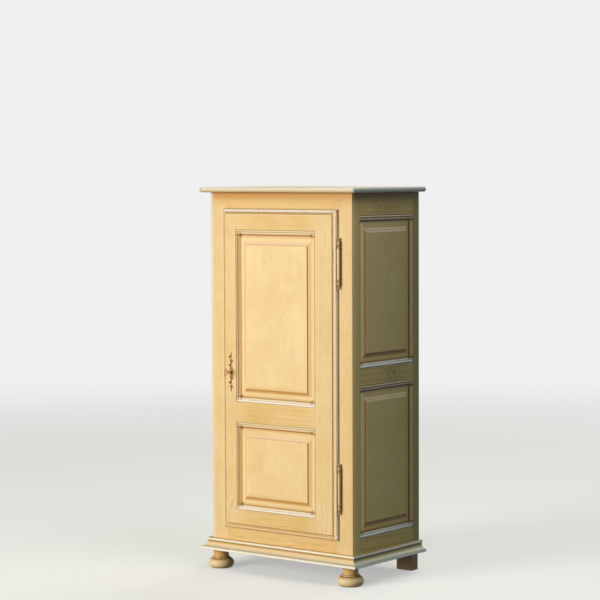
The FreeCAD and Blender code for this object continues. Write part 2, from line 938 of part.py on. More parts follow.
def door_leaf_pins(height, gap):
    """The pins that hold a door leaf, driven from the back of the door."""
    x = door_half - door_leaf_pin_set
    length = door_back_plane + hinge_stand + leaf_thick + gap
    return [rod(leaf_pin_radius + gap, length, x, door_back_plane, z, Vector(0, -1, 0))
            for z in leaf_pin_heights(height, 1)]


def hinge_pin(height):
    """The steel pin that stands in the lower knuckle."""
    return rod(pin_radius, 2.0 * pin_reach, hinge_x, hinge_depth, height - pin_reach, Vector(0, 0, 1))


def finial(height, sign):
    """A turned finial on a barrel's end: ring, vase, collar and ball, with a spigot in the bore."""
    ring = finial_ring_radius
    ring_side = ring - finial_ring_round
    waist = finial_waist_radius
    bead = finial_bead_radius
    bead_side = bead - finial_bead_round
    vase = finial_vase_radius
    full = finial_height
    ball = finial_ball_radius
    steps = [
        (pin_radius, -finial_spigot_length),
        (pin_radius, 0.0),
        (ring_side, 0.0),
        (ring, full * 0.05, ring_side, full * 0.10),
        (waist, full * 0.12),
        (waist - finial_waist_hollow, full * 0.17, waist, full * 0.22),
        (bead_side, full * 0.24),
        (bead, full * 0.27, bead_side, full * 0.30),
        (waist, full * 0.32),
        (vase, full * 0.47, vase * 0.55, full * 0.66),
        (vase * 0.40, full * 0.72),
        (vase * 0.70, full * 0.75),
        (vase * 0.78, full * 0.78, vase * 0.55, full * 0.81),
        (ball * 0.6, full - ball * 1.8),
        (ball, full - ball, 0.0, full),
    ]
    end = height + sign * knuckle_length
    turned_up = turned((0.0, -finial_spigot_length), steps, hinge_x, hinge_depth, end)
    if sign < 0:
        axis_point = Vector(hinge_x, front_plane + hinge_depth, end)
        turned_up.rotate(axis_point, Vector(1, 0, 0), 180)
    return turned_up


# ---- Escutcheon ----
def escutcheon_disc(up, radius):
    """A flat disc of the escutcheon, centred above or below the keyhole."""
    return rod(radius, escutcheon_thick, lock_x, door_plane, lock_height + up, Vector(0, -1, 0))


def keyhole(depth_low, depth_high):
    """The opening for the key: a round hole with a slot below for the bit."""
    radius = key_shank_radius + key_hole_gap
    half = bit_thick / 2.0 + key_hole_gap
    round_hole = rod(radius, depth_high - depth_low, lock_x, depth_low, lock_height, Vector(0, 1, 0))
    slot = box(lock_x - half, lock_x + half, depth_low, depth_high,
               lock_height - bit_reach - key_hole_gap, lock_height)
    return joined([round_hole, slot])


def escutcheon_pin_levels():
    """The heights of the escutcheon's four pins, from the lowest."""
    return sorted(lock_height + sign * rise for sign in (-1, 1) for rise in escutcheon_pin_rises)


def escutcheon():
    """A pierced brass plate: discs in a row about the keyhole, joined by a stem, in mirrored halves."""
    pieces = []
    holes = [keyhole(escutcheon_plane - cut_past, 0.0)]
    for sign in (-1, 1):
        pieces += [escutcheon_disc(sign * up, radius) for up, radius in escutcheon_discs]
        holes += [escutcheon_disc(sign * up, radius) for up, radius in escutcheon_piercings]
    for level in escutcheon_pin_levels():
        holes.append(escutcheon_disc(level - lock_height, escutcheon_pin_radius + pin_gap))
    half = escutcheon_stem_width / 2.0
    end = escutcheon_discs[-1][0]
    stem = box(lock_x - half, lock_x + half, escutcheon_plane, door_plane,
               lock_height - end, lock_height + end)
    return cut_away(joined(pieces + [stem]), holes)


def escutcheon_pin_shank(gap, start, level):
    """The shank of a pin, or with a gap, its hole."""
    return rod(escutcheon_pin_radius + gap, escutcheon_pin_length, lock_x, start, level, Vector(0, 1, 0))


def escutcheon_pins():
    """Small round-headed brass pins."""
    shapes = []
    head = escutcheon_pin_head
    for level in escutcheon_pin_levels():
        shank = escutcheon_pin_shank(0.0, escutcheon_plane, level)
        ball = Part.makeSphere(head, Vector(lock_x, front_plane + escutcheon_plane, level))
        front_half = box(lock_x - head, lock_x + head, escutcheon_plane - head, escutcheon_plane,
                         level - head, level + head)
        shapes.append(joined([shank, ball.common(front_half)]))
    return shapes


def escutcheon_pin_holes():
    """The pins' holes in the latch stile."""
    return [escutcheon_pin_shank(pin_gap, door_plane, level) for level in escutcheon_pin_levels()]


# ---- Lock ----
def lock_screw_places():
    """The four screws at the corners of the lock's plate, as x and height."""
    places = []
    for x in (case_left + lock_screw_inset, case_left + case_width - lock_screw_inset):
        for z in (lock_height - case_drop - case_flange / 2.0, lock_height + case_rise + case_flange / 2.0):
            places.append((x, z))
    return places


def sunk_screw(start, along, length, sink, gap):
    """A countersunk screw from the face of a plate, or with a gap, its hole."""
    shank = Part.makeCylinder(lock_screw_radius + gap, length + gap, start, along)
    head = Part.makeCone(lock_screw_head + gap, lock_screw_radius + gap, sink, start, along)
    return joined([shank, head])


def lock_screws(gap):
    """The screws from the lock's plate into the stile, or with a gap, their holes."""
    depth = front_plane + door_back_plane + case_wall
    return [sunk_screw(Vector(x, depth, z), Vector(0, -1, 0), lock_screw_length, case_wall, gap)
            for x, z in lock_screw_places()]


def bolt_body(slide, gap):
    """The bolt's bar, slid by a distance, or with a gap, the room for it."""
    return box(case_left - slide - gap, case_left + bolt_length + gap, bolt_front - gap,
               bolt_front + bolt_thick + gap, bolt_low - gap, bolt_low + bolt_height + gap)


def lock_bolt():
    """The bolt: a bar with a notch in its lower edge, in which the key's bit works."""
    lift = math.sqrt(bit_reach ** 2 - bolt_lift ** 2)
    drift = bolt_throw * math.acos(bolt_lift / bit_reach) / math.tau
    half = lift + bit_thick / 2.0 + drift + bolt_notch_gap
    middle = lock_x + bolt_throw / 2.0
    notch = box(middle - half, middle + half, bolt_front - cut_past, bolt_front + bolt_thick + cut_past,
                bolt_low - cut_past, lock_height + bit_reach + bolt_notch_gap)
    return bolt_body(0.0, 0.0).cut(notch)


def lock_case():
    """The lock's box on the back of the door, with its screw plate, bolt slot and tail rest."""
    right = case_left + case_width
    low = lock_height - case_drop
    high = lock_height + case_rise
    back = door_back_plane + case_depth
    plate = box(case_left, right, door_back_plane, door_back_plane + case_wall,
                low - case_flange, high + case_flange)
    shell = box(case_left, right, door_back_plane, back, low, high)
    hollow = box(case_left + case_wall, right - case_wall, door_back_plane + case_wall,
                 back - case_wall, low + case_wall, high - case_wall)
    body = joined([plate, shell]).cut(hollow)
    tail_room = lock_x + bit_reach + bolt_notch_gap
    rest_start = max(tail_room, right - case_wall - tail_rest_width)
    rest = box(rest_start, right - case_wall, door_back_plane + case_wall,
               back - case_wall, low + case_wall, bolt_low - bolt_gap)
    holes = [bolt_body(bolt_throw, bolt_gap), keyhole(0.0, door_back_plane + case_wall + bolt_gap)]
    return cut_away(joined([body, rest]), holes + lock_screws(pin_gap))


def bolt_spring():
    """A bowed leaf spring that bears on top of the bolt and hangs from the case's roof."""
    roof = lock_height + case_rise - case_wall
    low = bolt_low + bolt_height + bolt_gap
    start = case_left + case_wall + spring_inset
    end = case_left + case_width - case_wall - spring_inset
    middle = (start + end) / 2.0
    steps = [
        (middle, low, end, roof - spring_thick),
        (end, roof),
        (middle, low + spring_thick, start, roof),
    ]
    depth = front_plane + bolt_front + spring_side_gap
    face = face_of((start, roof - spring_thick), steps, lambda x, z: Vector(x, depth, z))
    return face.extrude(Vector(0, bolt_thick - 2.0 * spring_side_gap, 0))


# ---- Key ----
def key_rod(radius, start, end):
    """A round length of the key, between two depths."""
    return rod(radius, end - start, lock_x, start, lock_height, Vector(0, 1, 0))


def key_bit(end):
    """The bit, which hangs down at rest, with a ward slot across the middle of its lower edge."""
    half = bit_thick / 2.0
    low = lock_height - bit_reach
    middle = end - bit_length / 2.0
    plate = box(lock_x - half, lock_x + half, end - bit_length, end, low, lock_height)
    ward = box(lock_x - half, lock_x + half, middle - ward_width / 2.0, middle + ward_width / 2.0,
               low, low + ward_depth)
    return plate.cut(ward)


def key():
    """The key: pierced bow, collar, bead, shank and bit."""
    tip = door_back_plane + case_depth - case_wall - key_tip_gap
    bow_back = escutcheon_plane - key_standout + bow_depth
    shank = key_rod(key_shank_radius, bow_back - key_bow_seat, tip)
    collar_start = bow_back + key_collar_set
    collar = key_rod(key_collar_radius, collar_start, collar_start + key_collar_length)
    bead_start = bow_back + key_bead_set
    bead = key_rod(key_bead_radius, bead_start, bead_start + key_bead_length)
    return joined([shank, collar, bead, key_bit(tip - key_nose), key_bow(bow_back)])


def bow_oval(height, depth, bow_back):
    """A flat oval about the bow's middle; both the bow's outline and its opening are such ovals."""
    centre = Vector(lock_x - bow_thick / 2.0, front_plane + bow_back - bow_depth / 2.0, lock_height)
    upright = centre + Vector(0, 0, height / 2.0)
    level = centre + Vector(0, depth / 2.0, 0)
    curve = Part.Ellipse(upright, level, centre)
    return Part.Face(Part.Wire([curve.toShape()])).extrude(Vector(bow_thick, 0, 0))


def key_bow(bow_back):
    """The oval ring that the hand turns, standing upright in line with the shank."""
    opening = bow_oval(bow_height - 2.0 * bow_wire, bow_depth - 2.0 * bow_wire, bow_back)
    return bow_oval(bow_height, bow_depth, bow_back).cut(opening)


# ---- Strike ----
def strike_seat(gap):
    """The strike plate's block, or with a gap, its recess in the left post."""
    half_depth = strike_depth / 2.0 + gap
    half_height = strike_height / 2.0 + gap
    return box(-opening_half - strike_thick - gap, -opening_half,
               strike_mid_depth - half_depth, strike_mid_depth + half_depth,
               strike_mid_height - half_height, strike_mid_height + half_height)


def strike_pocket():
    """The hole that takes the thrown bolt, through the plate and into the post."""
    gap = strike_gap
    return box(-opening_half - bolt_throw - strike_pocket_spare, -opening_half + cut_past,
               bolt_front - gap, bolt_front + bolt_thick + gap,
               bolt_low - gap, bolt_low + bolt_height + gap)


def strike_screws(gap):
    """Two screws into the post, or with a gap, their holes."""
    shapes = []
    for sign in (-1, 1):
        z = strike_mid_height + sign * (strike_height / 2.0 - strike_screw_inset)
        start = Vector(-opening_half, front_plane + strike_mid_depth, z)
        shapes.append(sunk_screw(start, Vector(-1, 0, 0), strike_screw_length, strike_thick, gap))
    return shapes


# ---- Everything, written node by node ----
def write_carcass():
    """The fixed woodwork."""
    save("top_board", top_board())
    for side, sign in (("left", -1), ("right", 1)):
        frame = side_frames[side]
        front = front_post(sign, frame)
        if side == "left":
            front = cut_away(front, [strike_seat(tenon_gap), strike_pocket()] + strike_screws(pin_gap))
        else:
            pin_holes = [pin for _, height in hinge_levels for pin in frame_leaf_pins(height, pin_gap)]
            front = cut_away(front, hinge_slots() + pin_holes)
        save("front_" + side + "_post", front)
        save("rear_" + side + "_post", rear_post(sign, frame))
        for name in side_rails:
            rail = moulded_rail(frame, side_rails, name, side_openings, side_tenon_length)
            save(side + "_side_" + name + "_rail", pegged(rail))
        for name, opening in zip(("lower", "upper"), side_openings):
            save(side + "_side_" + name + "_panel", frame.panel(*opening))
        save("base_" + side + "_moulding", base_side_moulding(sign))
        save("front_" + side + "_foot", bun_foot(sign))
        save("rear_" + side + "_foot", block_foot(sign))
    for name, rail in front_rails.items():
        save("front_" + name + "_rail", pegged(plain_rail(front_frame, rail, front_tenon_length)))
    for name, rail in back_rails.items():
        save("back_" + name + "_rail", pegged(plain_rail(back_frame, rail, back_tenon_length)))
    save("base_front_moulding", base_front_moulding())
    save("back_boards", back_boards())
    save("floor_board", floor_board())
    for name, level in zip(("lower", "middle", "upper"), shelf_levels):
        save(name + "_shelf", shelf(level))
    save("shelf_cleats", shelf_cleats())
    save("carcass_pegs", Part.makeCompound(carcass_peg_shapes(0.0)))


def write_door():
    """The door's woodwork."""
    envelope = door_envelope()
    latch = door_stile("near", envelope)
    holes = [keyhole(door_plane - cut_past, door_back_plane + cut_past)]
    save("door_latch_stile", cut_away(latch, holes + escutcheon_pin_holes() + lock_screws(pin_gap)))
    hinge = door_stile("far", envelope)
    pin_holes = [pin for _, height in hinge_levels for pin in door_leaf_pins(height, pin_gap)]
    save("door_hinge_stile", cut_away(hinge, door_leaf_slots() + pin_holes))
    for name in door_rails:
        save("door_" + name + "_rail", door_rail(name, envelope))
    for name, opening in zip(("lower", "upper"), door_openings):
        save("door_" + name + "_panel", door_frame.panel(*opening))
    save("door_pegs", Part.makeCompound(door_peg_shapes(0.0)))


def write_hardware():
    """Hinges, lock, key and strike."""
    frame_pins = []
    door_pins = []
    for name, height in hinge_levels:
        save(name + "_frame_knuckle", frame_knuckle(height))
        save(name + "_door_knuckle", door_knuckle(height))
        frame_pins += frame_leaf_pins(height, 0.0)
        door_pins += door_leaf_pins(height, 0.0)
    heights = [height for _, height in hinge_levels]
    save("hinge_pins", Part.makeCompound([hinge_pin(height) for height in heights]))
    save("hinge_foot_finials", Part.makeCompound([finial(height, -1) for height in heights]))
    save("hinge_cap_finials", Part.makeCompound([finial(height, 1) for height in heights]))
    save("frame_leaf_pins", Part.makeCompound(frame_pins))
    save("door_leaf_pins", Part.makeCompound(door_pins))
    save("escutcheon", escutcheon())
    save("escutcheon_pins", Part.makeCompound(escutcheon_pins()))
    save("lock_case", lock_case())
    save("lock_bolt", lock_bolt())
    save("bolt_spring", bolt_spring())
    save("lock_screws", Part.makeCompound(lock_screws(0.0)))
    save("key", key())
    strike = cut_away(strike_seat(0.0), [strike_pocket()] + strike_screws(pin_gap))
    save("strike_plate", strike)
    save("strike_screws", Part.makeCompound(strike_screws(0.0)))


os.makedirs("parts", exist_ok=True)
write_carcass()
write_door()
write_hardware()
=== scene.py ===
"""A painted bonnetiere cabinet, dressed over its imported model, piece by piece from the carcass to the key."""

import math

import bmesh
import bpy
import numpy as np
from mathutils import Euler, Matrix


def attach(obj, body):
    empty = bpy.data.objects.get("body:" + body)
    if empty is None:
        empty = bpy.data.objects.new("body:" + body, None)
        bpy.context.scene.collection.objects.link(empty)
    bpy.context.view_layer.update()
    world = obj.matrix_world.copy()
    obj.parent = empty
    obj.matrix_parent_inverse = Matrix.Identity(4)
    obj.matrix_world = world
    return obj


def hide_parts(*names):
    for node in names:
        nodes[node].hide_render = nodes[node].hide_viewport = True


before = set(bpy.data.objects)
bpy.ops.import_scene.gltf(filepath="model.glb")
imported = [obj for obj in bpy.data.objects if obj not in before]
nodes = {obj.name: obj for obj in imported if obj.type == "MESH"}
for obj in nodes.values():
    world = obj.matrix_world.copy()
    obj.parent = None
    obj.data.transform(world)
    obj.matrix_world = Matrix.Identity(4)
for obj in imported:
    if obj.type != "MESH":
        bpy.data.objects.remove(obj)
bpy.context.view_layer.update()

# ---- Carcass posts and rails ----
# Oak frame members, mortised and pegged, brushed with a warm yellow casein paint and then wiped with a brown
# glaze that stays in every corner and joint. The paint follows the grain, which runs along each member.
MATH = "ShaderNodeMath"
VECTOR = "ShaderNodeVectorMath"
SPLIT = "ShaderNodeSeparateXYZ"
NOISE = "ShaderNodeTexNoise"
MAP = "ShaderNodeMapRange"
PLACE = "ShaderNodeTexCoord"
HOLLOW = "ShaderNodeAmbientOcclusion"
BUMP = "ShaderNodeBump"
# The carcass in mm: half its width, its front and back faces, and the width of the beads round each opening.
HALF_WIDTH, FRONT_FACE, BACK_FACE, BEADS = 343.0, -188.55, 248.45, 20.0


def linear(code):
    """A hex sRGB colour as linear red, green, blue and alpha."""
    part = np.array([int(code[i:i + 2], 16) for i in (1, 3, 5)]) / 255.0
    part = np.where(part <= 0.04045, part / 12.92, ((part + 0.055) / 1.055) ** 2.4)
    return (*part.tolist(), 1.0)


def add(finish, kind, sockets, operation=None, **settings):
    """Add one node to a material. Its sockets, in order or by name, get a value, a node or an output. The rest
    are its properties."""
    made = finish.node_tree.nodes.new(kind)
    if operation:
        made.operation = operation
    for name, value in settings.items():
        setattr(made, name, value)
    for key, value in sockets.items() if isinstance(sockets, dict) else enumerate(sockets):
        if isinstance(value, bpy.types.Node):
            value = value.outputs[0]
        if isinstance(value, bpy.types.NodeSocket):
            finish.node_tree.links.new(value, made.inputs[key])
        else:
            made.inputs[key].default_value = value
    return made


def chain(finish, kind, value, *steps):
    """A value taken through steps, each one node: its operation, then its inputs after the first."""
    for operation, *others in steps:
        value = add(finish, kind, (value, *others), operation)
    return value


def blank(name):
    """A new material without nodes."""
    finish = bpy.data.materials.new(name)
    finish.use_nodes = True
    finish.node_tree.nodes.clear()
    return finish


def surfaced(finish, looks):
    """The material, with its Principled shader and output added."""
    shader = add(finish, "ShaderNodeBsdfPrincipled", looks)
    add(finish, "ShaderNodeOutputMaterial", {"Surface": shader})
    return finish


def bands(finish, distance, stops):
    """Painted bands along a distance in mm: each stop is a place, a colour and the percentage that it covers."""
    low, high = stops[0][0], stops[-1][0]
    ramp = add(finish, "ShaderNodeValToRGB", (add(finish, MAP, (distance, low, high)),))
    marks = ramp.color_ramp.elements
    while len(marks) < len(stops):
        marks.new(0.5)
    for mark, stop in zip(marks, stops):
        mark.position = (stop[0] - low) / (high - low)
    for mark, (_, code, cover) in zip(marks, stops):
        mark.color = (*linear(code)[:3], cover / 100.0)
    return ramp


def mixed(finish, under, over, cover):
    """One colour over another, by how much it covers. Either may be a hex code or an output."""
    under, over = (linear(tone) if isinstance(tone, str) else tone for tone in (under, over))
    return add(finish, "ShaderNodeMix", {"Factor": cover, 6: under, 7: over}, data_type="RGBA").outputs[2]


def laid_over(finish, under, distance, stops, keep=1.0):
    """Bands along a distance, laid over a colour by how much each covers, times a further share."""
    ramp = bands(finish, distance, stops)
    cover = add(finish, MATH, (ramp.outputs["Alpha"], keep), "MULTIPLY")
    return mixed(finish, under, ramp.outputs["Color"], cover)


def hand_drawn(finish, wander=0.5):
    """Places in mm that wander by a small amount, as a line drawn with a brush does."""
    place = add(finish, PLACE, ()).outputs["Object"]
    # A scale is one over the pattern's real size, in metres on Object places and in mm on drawn ones.
    shake = add(finish, NOISE, {"Vector": place, "Scale": 1.0 / 0.035, "Detail": 2.0}).outputs["Color"]
    shake = add(finish, VECTOR, (shake, (0.5, 0.5, 0.5)), "SUBTRACT")
    shake = add(finish, VECTOR, {0: shake, "Scale": 2.0 * wander}, "SCALE")
    return add(finish, VECTOR, (place, (1000.0,) * 3, shake), "MULTIPLY_ADD")


def smallest(finish, first, *others):
    """The least of several numbers."""
    return chain(finish, MATH, first, *(("MINIMUM", other) for other in others))


def reaches(finish, place, across, rectangle):
    """How far a place is in from the near, far, lower and upper sides of a rectangle."""
    near, far, low, high = rectangle
    split = add(finish, SPLIT, (place,)).outputs
    return [add(finish, MATH, (split[axis], sign, start), "MULTIPLY_ADD")
            for axis, sign, start in ((across, 1.0, -near), (across, -1.0, far), (2, 1.0, -low), (2, -1.0, high))]


def round_sides(finish, colour, place, across, rectangle, sides, keep=1.0):
    """Bands round a rectangle, mitred at its corners, by the distance in from its nearest side, below zero
    outside. The four rows of stops are for its near, far, lower and upper sides."""
    reach = reaches(finish, place, across, rectangle)
    least = smallest(finish, *reach)
    for away, stops in zip(reach, sides):
        nearest = chain(finish, MATH, away, ("COMPARE", least, 0.5), ("MULTIPLY", keep))
        colour = laid_over(finish, colour, least, stops, nearest)
    return colour


def strips(finish, colour, place, across, openings, sides):
    """Bands along the inside of panel openings. The level ones run right across and are cut off square, and the
    upright ones stand between them. Brown glaze is left in the four inner corners."""
    found = None
    for opening in openings:
        reach = reaches(finish, place, across, opening)
        here = []
        for side in range(4):
            limit = add(finish, MATH, (smallest(finish, *reach[:side], *reach[side + 1:]), 50.0), "MULTIPLY")
            here.append(smallest(finish, reach[side], limit))
        if found:
            here = [add(finish, MATH, pair, "MAXIMUM") for pair in zip(found, here)]
        found = here
    level = smallest(finish, found[2], found[3])
    between = add(finish, MAP, (level, BEADS - 0.2, BEADS + 0.6))
    for away, stops, keep in zip(found, sides, (between, between, 1.0, 1.0)):
        colour = laid_over(finish, colour, away, stops, keep)
    corner = add(finish, "ShaderNodeCombineXYZ", (smallest(finish, found[0], found[1]), level))
    corner = add(finish, VECTOR, (corner, (BEADS, BEADS, 0.0)), "DISTANCE").outputs["Value"]
    return laid_over(finish, colour, corner, ((0, "#6A4014", 75), (5, "#8A5C24", 60), (13, "#D09A54", 0)))


def joint_lines(finish, colour, across, openings, cover):
    """Hair lines where rails meet stiles, in line with the openings' upright sides."""
    place = hand_drawn(finish, 0.2)
    where = add(finish, SPLIT, (place,)).outputs[across]
    inside = [smallest(finish, *reaches(finish, place, across, opening)) for opening in openings]
    outside = chain(finish, MATH, inside[0], ("MAXIMUM", inside[1]), ("LESS_THAN", 0.0))
    for joint in openings[0][:2]:
        gap = chain(finish, MATH, where, ("COMPARE", joint, 0.6), ("MULTIPLY", outside), ("MULTIPLY", cover))
        colour = mixed(finish, colour, "#8A6030", gap)
    return colour


def drawn_out(along, share):
    """Scales that draw a pattern out along one axis."""
    return [share if axis == along else 1.0 for axis in range(3)]


def paint_ground(finish, along, seed, tones, figure=0.05):
    """Yellow paint on oak: cloudy patina in two tones, a rosy blush, short brush strokes along one axis, chips,
    hairline shakes and the flowing figure of the oak. Returns the colour and the height that its bump reads."""
    place = add(finish, PLACE, ()).outputs["Object"]
    run, stroke = (add(finish, "ShaderNodeMapping", {
        "Vector": place, "Location": (seed, seed * 0.7, seed * 1.3), "Scale": drawn_out(along, share)})
        for share in (0.05, 0.22))
    clouds = add(finish, NOISE, {"Vector": place, "Scale": 1.0 / 0.13, "Detail": 3.0, "Roughness": 0.55})
    colour = bands(finish, clouds, ((0.32, tones[0], 100), (0.64, tones[1], 100))).outputs["Color"]
    blush = add(finish, NOISE, {"Vector": stroke, "Scale": 1.0 / 0.04, "Detail": 2.0})
    strokes = add(finish, NOISE, {"Vector": stroke, "Scale": 1.0 / 0.009, "Detail": 6.0, "Roughness": 0.65,
                                  "Distortion": 0.6})
    # Chips are drawn at 4 mm, coarser than the real ones, which would not show.
    chips = add(finish, NOISE, {"Vector": stroke, "Scale": 1.0 / 0.004, "Detail": 2.0})
    shakes = add(finish, NOISE, {"Vector": run, "Scale": 1.0 / 0.05, "Detail": 2.0})
    shakes = chain(finish, MATH, shakes, ("COMPARE", 0.5, 0.004), ("MULTIPLY", clouds.outputs["Fac"]))
    rings = add(finish, "ShaderNodeTexWave", {"Vector": run, "Scale": 1.0 / 0.055, "Distortion": 11.0,
                                              "Detail": 3.0, "Detail Scale": 1.2, "Detail Roughness": 0.6},
                wave_type="RINGS", rings_direction="XYZ"[along])
    for value, low, high, most, tone in (
            (blush, 0.50, 0.75, 0.40, "#F3C998"), (strokes, 0.54, 0.80, 0.22, "#CE9B58"),
            (strokes, 0.47, 0.25, 0.22, "#FFE3B0"), (chips, 0.69, 0.76, 0.26, "#B8864A"),
            (chips, 0.32, 0.25, 0.25, "#FFECC8"), (shakes, 0.53, 0.62, 0.32, "#A5733A"),
            (rings, 0.78, 1.00, figure, "#A87A3C")):
        colour = mixed(finish, colour, tone, add(finish, MAP, (value, low, high, 0.0, most)))
    pores = add(finish, NOISE, {"Vector": stroke, "Scale": 1.0 / 0.0016, "Detail": 2.0})
    return colour, add(finish, MATH, (pores, strokes), "ADD")


def arches(finish, colour, tips):
    """Dark arches of flat-sawn grain, one inside the other along a rail: lines at whole values of the distance
    from a tip over 17, less the square of the height over 19, all in mm, plus a noise. The tips are given from
    front to back and up. The lines are coarser than the real ones and fade out 130 mm from the tip."""
    place = hand_drawn(finish, 5.0)
    drift = add(finish, NOISE, {"Vector": place, "Scale": 1.0 / 38.0, "Detail": 3.0})
    for tip, way in tips:
        away = chain(finish, VECTOR, place, ("SUBTRACT", (0.0, *tip)), ("MULTIPLY", (0.0, 1.0, 1.0)))
        split = add(finish, SPLIT, (away,)).outputs
        bent = chain(finish, MATH, split[2], ("MULTIPLY", split[2]), ("MULTIPLY", -way / 19.0 ** 2))
        phase = add(finish, MATH, (split[1], 1.0 / 17.0, bent), "MULTIPLY_ADD")
        phase = add(finish, MATH, (drift, 5.0, phase), "MULTIPLY_ADD")
        wave = chain(finish, MATH, phase, ("MULTIPLY", 2.0 * math.pi), ("SINE",))
        away = add(finish, VECTOR, (away,), "LENGTH").outputs["Value"]
        near = add(finish, MAP, (away, 30.0, 130.0, 0.95, 0.0))
        cover = add(finish, MATH, (add(finish, MAP, (wave, 0.0, 0.8)), near), "MULTIPLY")
        colour = mixed(finish, colour, "#5A4A1C", cover)
    return colour


def glazed(finish, colour, height, round_off=0.0012):
    """The last coat: brown glaze left in hollows and corners, pin-head flight holes about 2 mm across in patches,
    softened arrises, a satin wax that is duller where the paint is thin, and fine relief."""
    hollow = add(finish, HOLLOW, {"Distance": 0.007}, samples=8).outputs["AO"]
    colour = mixed(finish, colour, "#6E431F", add(finish, MAP, (hollow, 0.60, 0.20, 0.0, 0.45)))
    place = add(finish, PLACE, ()).outputs["Object"]
    spots = add(finish, "ShaderNodeTexVoronoi", {"Vector": place, "Scale": 1.0 / 0.016})
    few = add(finish, MATH, (add(finish, SPLIT, (spots.outputs["Color"],)), 0.40), "LESS_THAN")
    spot = chain(finish, MATH, spots.outputs["Distance"], ("LESS_THAN", 0.06), ("MULTIPLY", few), ("MULTIPLY", 0.75))
    colour = mixed(finish, colour, "#5C3A1C", spot)
    soft = add(finish, "ShaderNodeBevel", {"Radius": round_off}, samples=4)
    relief = add(finish, BUMP, {"Height": height, "Normal": soft, "Strength": 0.35, "Distance": 0.0004})
    gloss = add(finish, MAP, (height, 0.7, 1.3, 0.42, 0.58))
    return surfaced(finish, {"Base Color": colour, "Roughness": gloss, "Normal": relief, "Specular IOR Level": 0.4})


# The rails kept a little more of the brown glaze than the posts and stiles, and the panels were wiped cleanest.
RAIL_TONES = ("#E3B66A", "#EDC27C")
UPRIGHT_TONES = ("#EBC486", "#F3CF97")
DOOR_TONES = ("#EAC280", "#F3CE93")
PANEL_TONES = ("#F2C98A", "#FBD89E")
# Openings in mm, as near side, far side, bottom and top, then the raised fields inside them.
SIDE_OPENINGS = ((-142.55, 210.45, 176.0, 754.0), (-142.55, 210.45, 819.0, 1395.0))
SIDE_FIELDS = ((-96.55, 168.45, 229.0, 694.0), (-96.55, 168.45, 872.0, 1335.0))
# The level mouldings of the sides are picked out in off-white, with dark glaze left in the lines between their beads;
# the upper ones are painted darker as shade, with a nearly black painted shadow at their foot. The upright ones stay
# yellow, with a brown line at the foot, and the near one carries a bright painted highlight. Each row: near, far,
# lower and upper side.
SIDE_STRIPS = (
    ((-2, "#F2CC8C", 0), (0, "#A88B57", 70), (2.5, "#A88B57", 60), (5, "#E9C48C", 30), (12, "#FFDCA0", 60),
     (18, "#F8CE8C", 80), (20.4, "#B4843C", 60), (22.5, "#FFE09C", 85), (32, "#FFDC98", 85), (40, "#FFD898", 20),
     (44, "#FFD898", 0)),
    ((-3, "#E8C48C", 0), (0, "#B08C58", 60), (2.4, "#F6DCC0", 80), (9, "#F3D6B4", 80), (11, "#C8A070", 70),
     (16, "#D8B07C", 60), (18.4, "#7C5828", 90), (21.5, "#7C5828", 90), (24, "#E2B870", 30), (28, "#F2C987", 0)),
    ((-3, "#F2CC8C", 0), (-1.5, "#9A8A68", 60), (0.6, "#77705A", 90), (2.2, "#FFFFFF", 100), (8.4, "#FFFFFF", 100),
     (9.6, "#A8A294", 95), (11, "#E2DCD2", 95), (16.6, "#EBE4DC", 95), (18.6, "#7C5C30", 95), (23, "#86642F", 85),
     (27, "#C09A58", 50), (36, "#E2BA78", 0)),
    ((-3, "#F2CC8C", 0), (-1.2, "#B08E58", 50), (0.4, "#6E542E", 90), (2.6, "#F6D8C4", 90), (6.4, "#F0CEBA", 90),
     (8, "#7C5C44", 95), (11.2, "#7C5C44", 95), (12.6, "#FFE2D4", 98), (16.4, "#FFDED0", 98), (18, "#33220F", 98),
     (23, "#33220F", 97), (26, "#8E7444", 70), (34, "#E2BA78", 0)))
# Bands round the side fields: painted light on the near and upper slopes, a painted shadow of the field on the far
# margin, and painted shade, nearly black, on the lower slopes.
SIDE_RAISES = (
    ((-16, "#FFD898", 0), (-12, "#FFD8A0", 70), (-5, "#F6C486", 70), (-2.4, "#A8783C", 85), (-0.4, "#A8783C", 85),
     (1, "#FFE2B4", 80), (7, "#FBD79C", 0)),
    ((-14, "#F2CC8C", 0), (-9, "#E0B87C", 50), (-3, "#C89C5C", 70), (-0.4, "#8A6434", 90), (1.4, "#8A6434", 80),
     (3, "#F2CC8C", 0)),
    ((-26, "#F2CC8C", 0), (-18, "#C89C5C", 50), (-11, "#8E6832", 88), (-4, "#5E4018", 96), (0.5, "#4E3412", 97),
     (2, "#A88048", 70), (10, "#D6B070", 0)),
    ((-17, "#F2CC8C", 0), (-12, "#EBC79C", 50), (-9, "#FFE4C4", 85), (-5.6, "#FFE4C4", 85), (-4.4, "#B88E58", 85),
     (-1.8, "#B88E58", 85), (-0.4, "#FFE9CC", 90), (3.6, "#FFE6C0", 80), (8, "#FFDDA8", 0)))
# Painted shadow under the top board, drawn by the drop below it: ochre in front and nearly black at the sides.
UNDER_SIDE = 1480.0
FRONT_TOP_SHADOW = ((0, "#C48C3E", 95), (6, "#C68A36", 95), (14, "#C88E3C", 93), (22, "#D29C4A", 90), (32, "#DEB066", 80),
             (44, "#E6BC76", 55), (62, "#EBC484", 0))
SIDE_TOP_SHADOW = ((0, "#33240F", 95), (8, "#3E2C12", 95), (16, "#5E4820", 88), (26, "#86703C", 65),
                  (40, "#A89058", 40), (90, "#D9B670", 15), (110, "#D9B670", 0))
# The sides are painted darker and olive as shade, over their yellow and under the mouldings' colours.
SIDE_PAINTED_SHADE = ((-182, "#A09A58", 0), (-164, "#A09858", 46), (210, "#8E8A4A", 60))
# Painted light on the side near the front corner, and painted shade that deepens from there to the rear edge.
SIDE_LIGHT_TO_SHADE = ((-188.4, "#FFD08A", 0), (-187.4, "#FFD08A", 85), (-178, "#FFD08A", 50), (-164, "#D0B470", 0),
            (20, "#6E642F", 4), (205, "#6E642F", 22), (214, "#564E24", 68), (250, "#4E4822", 76))
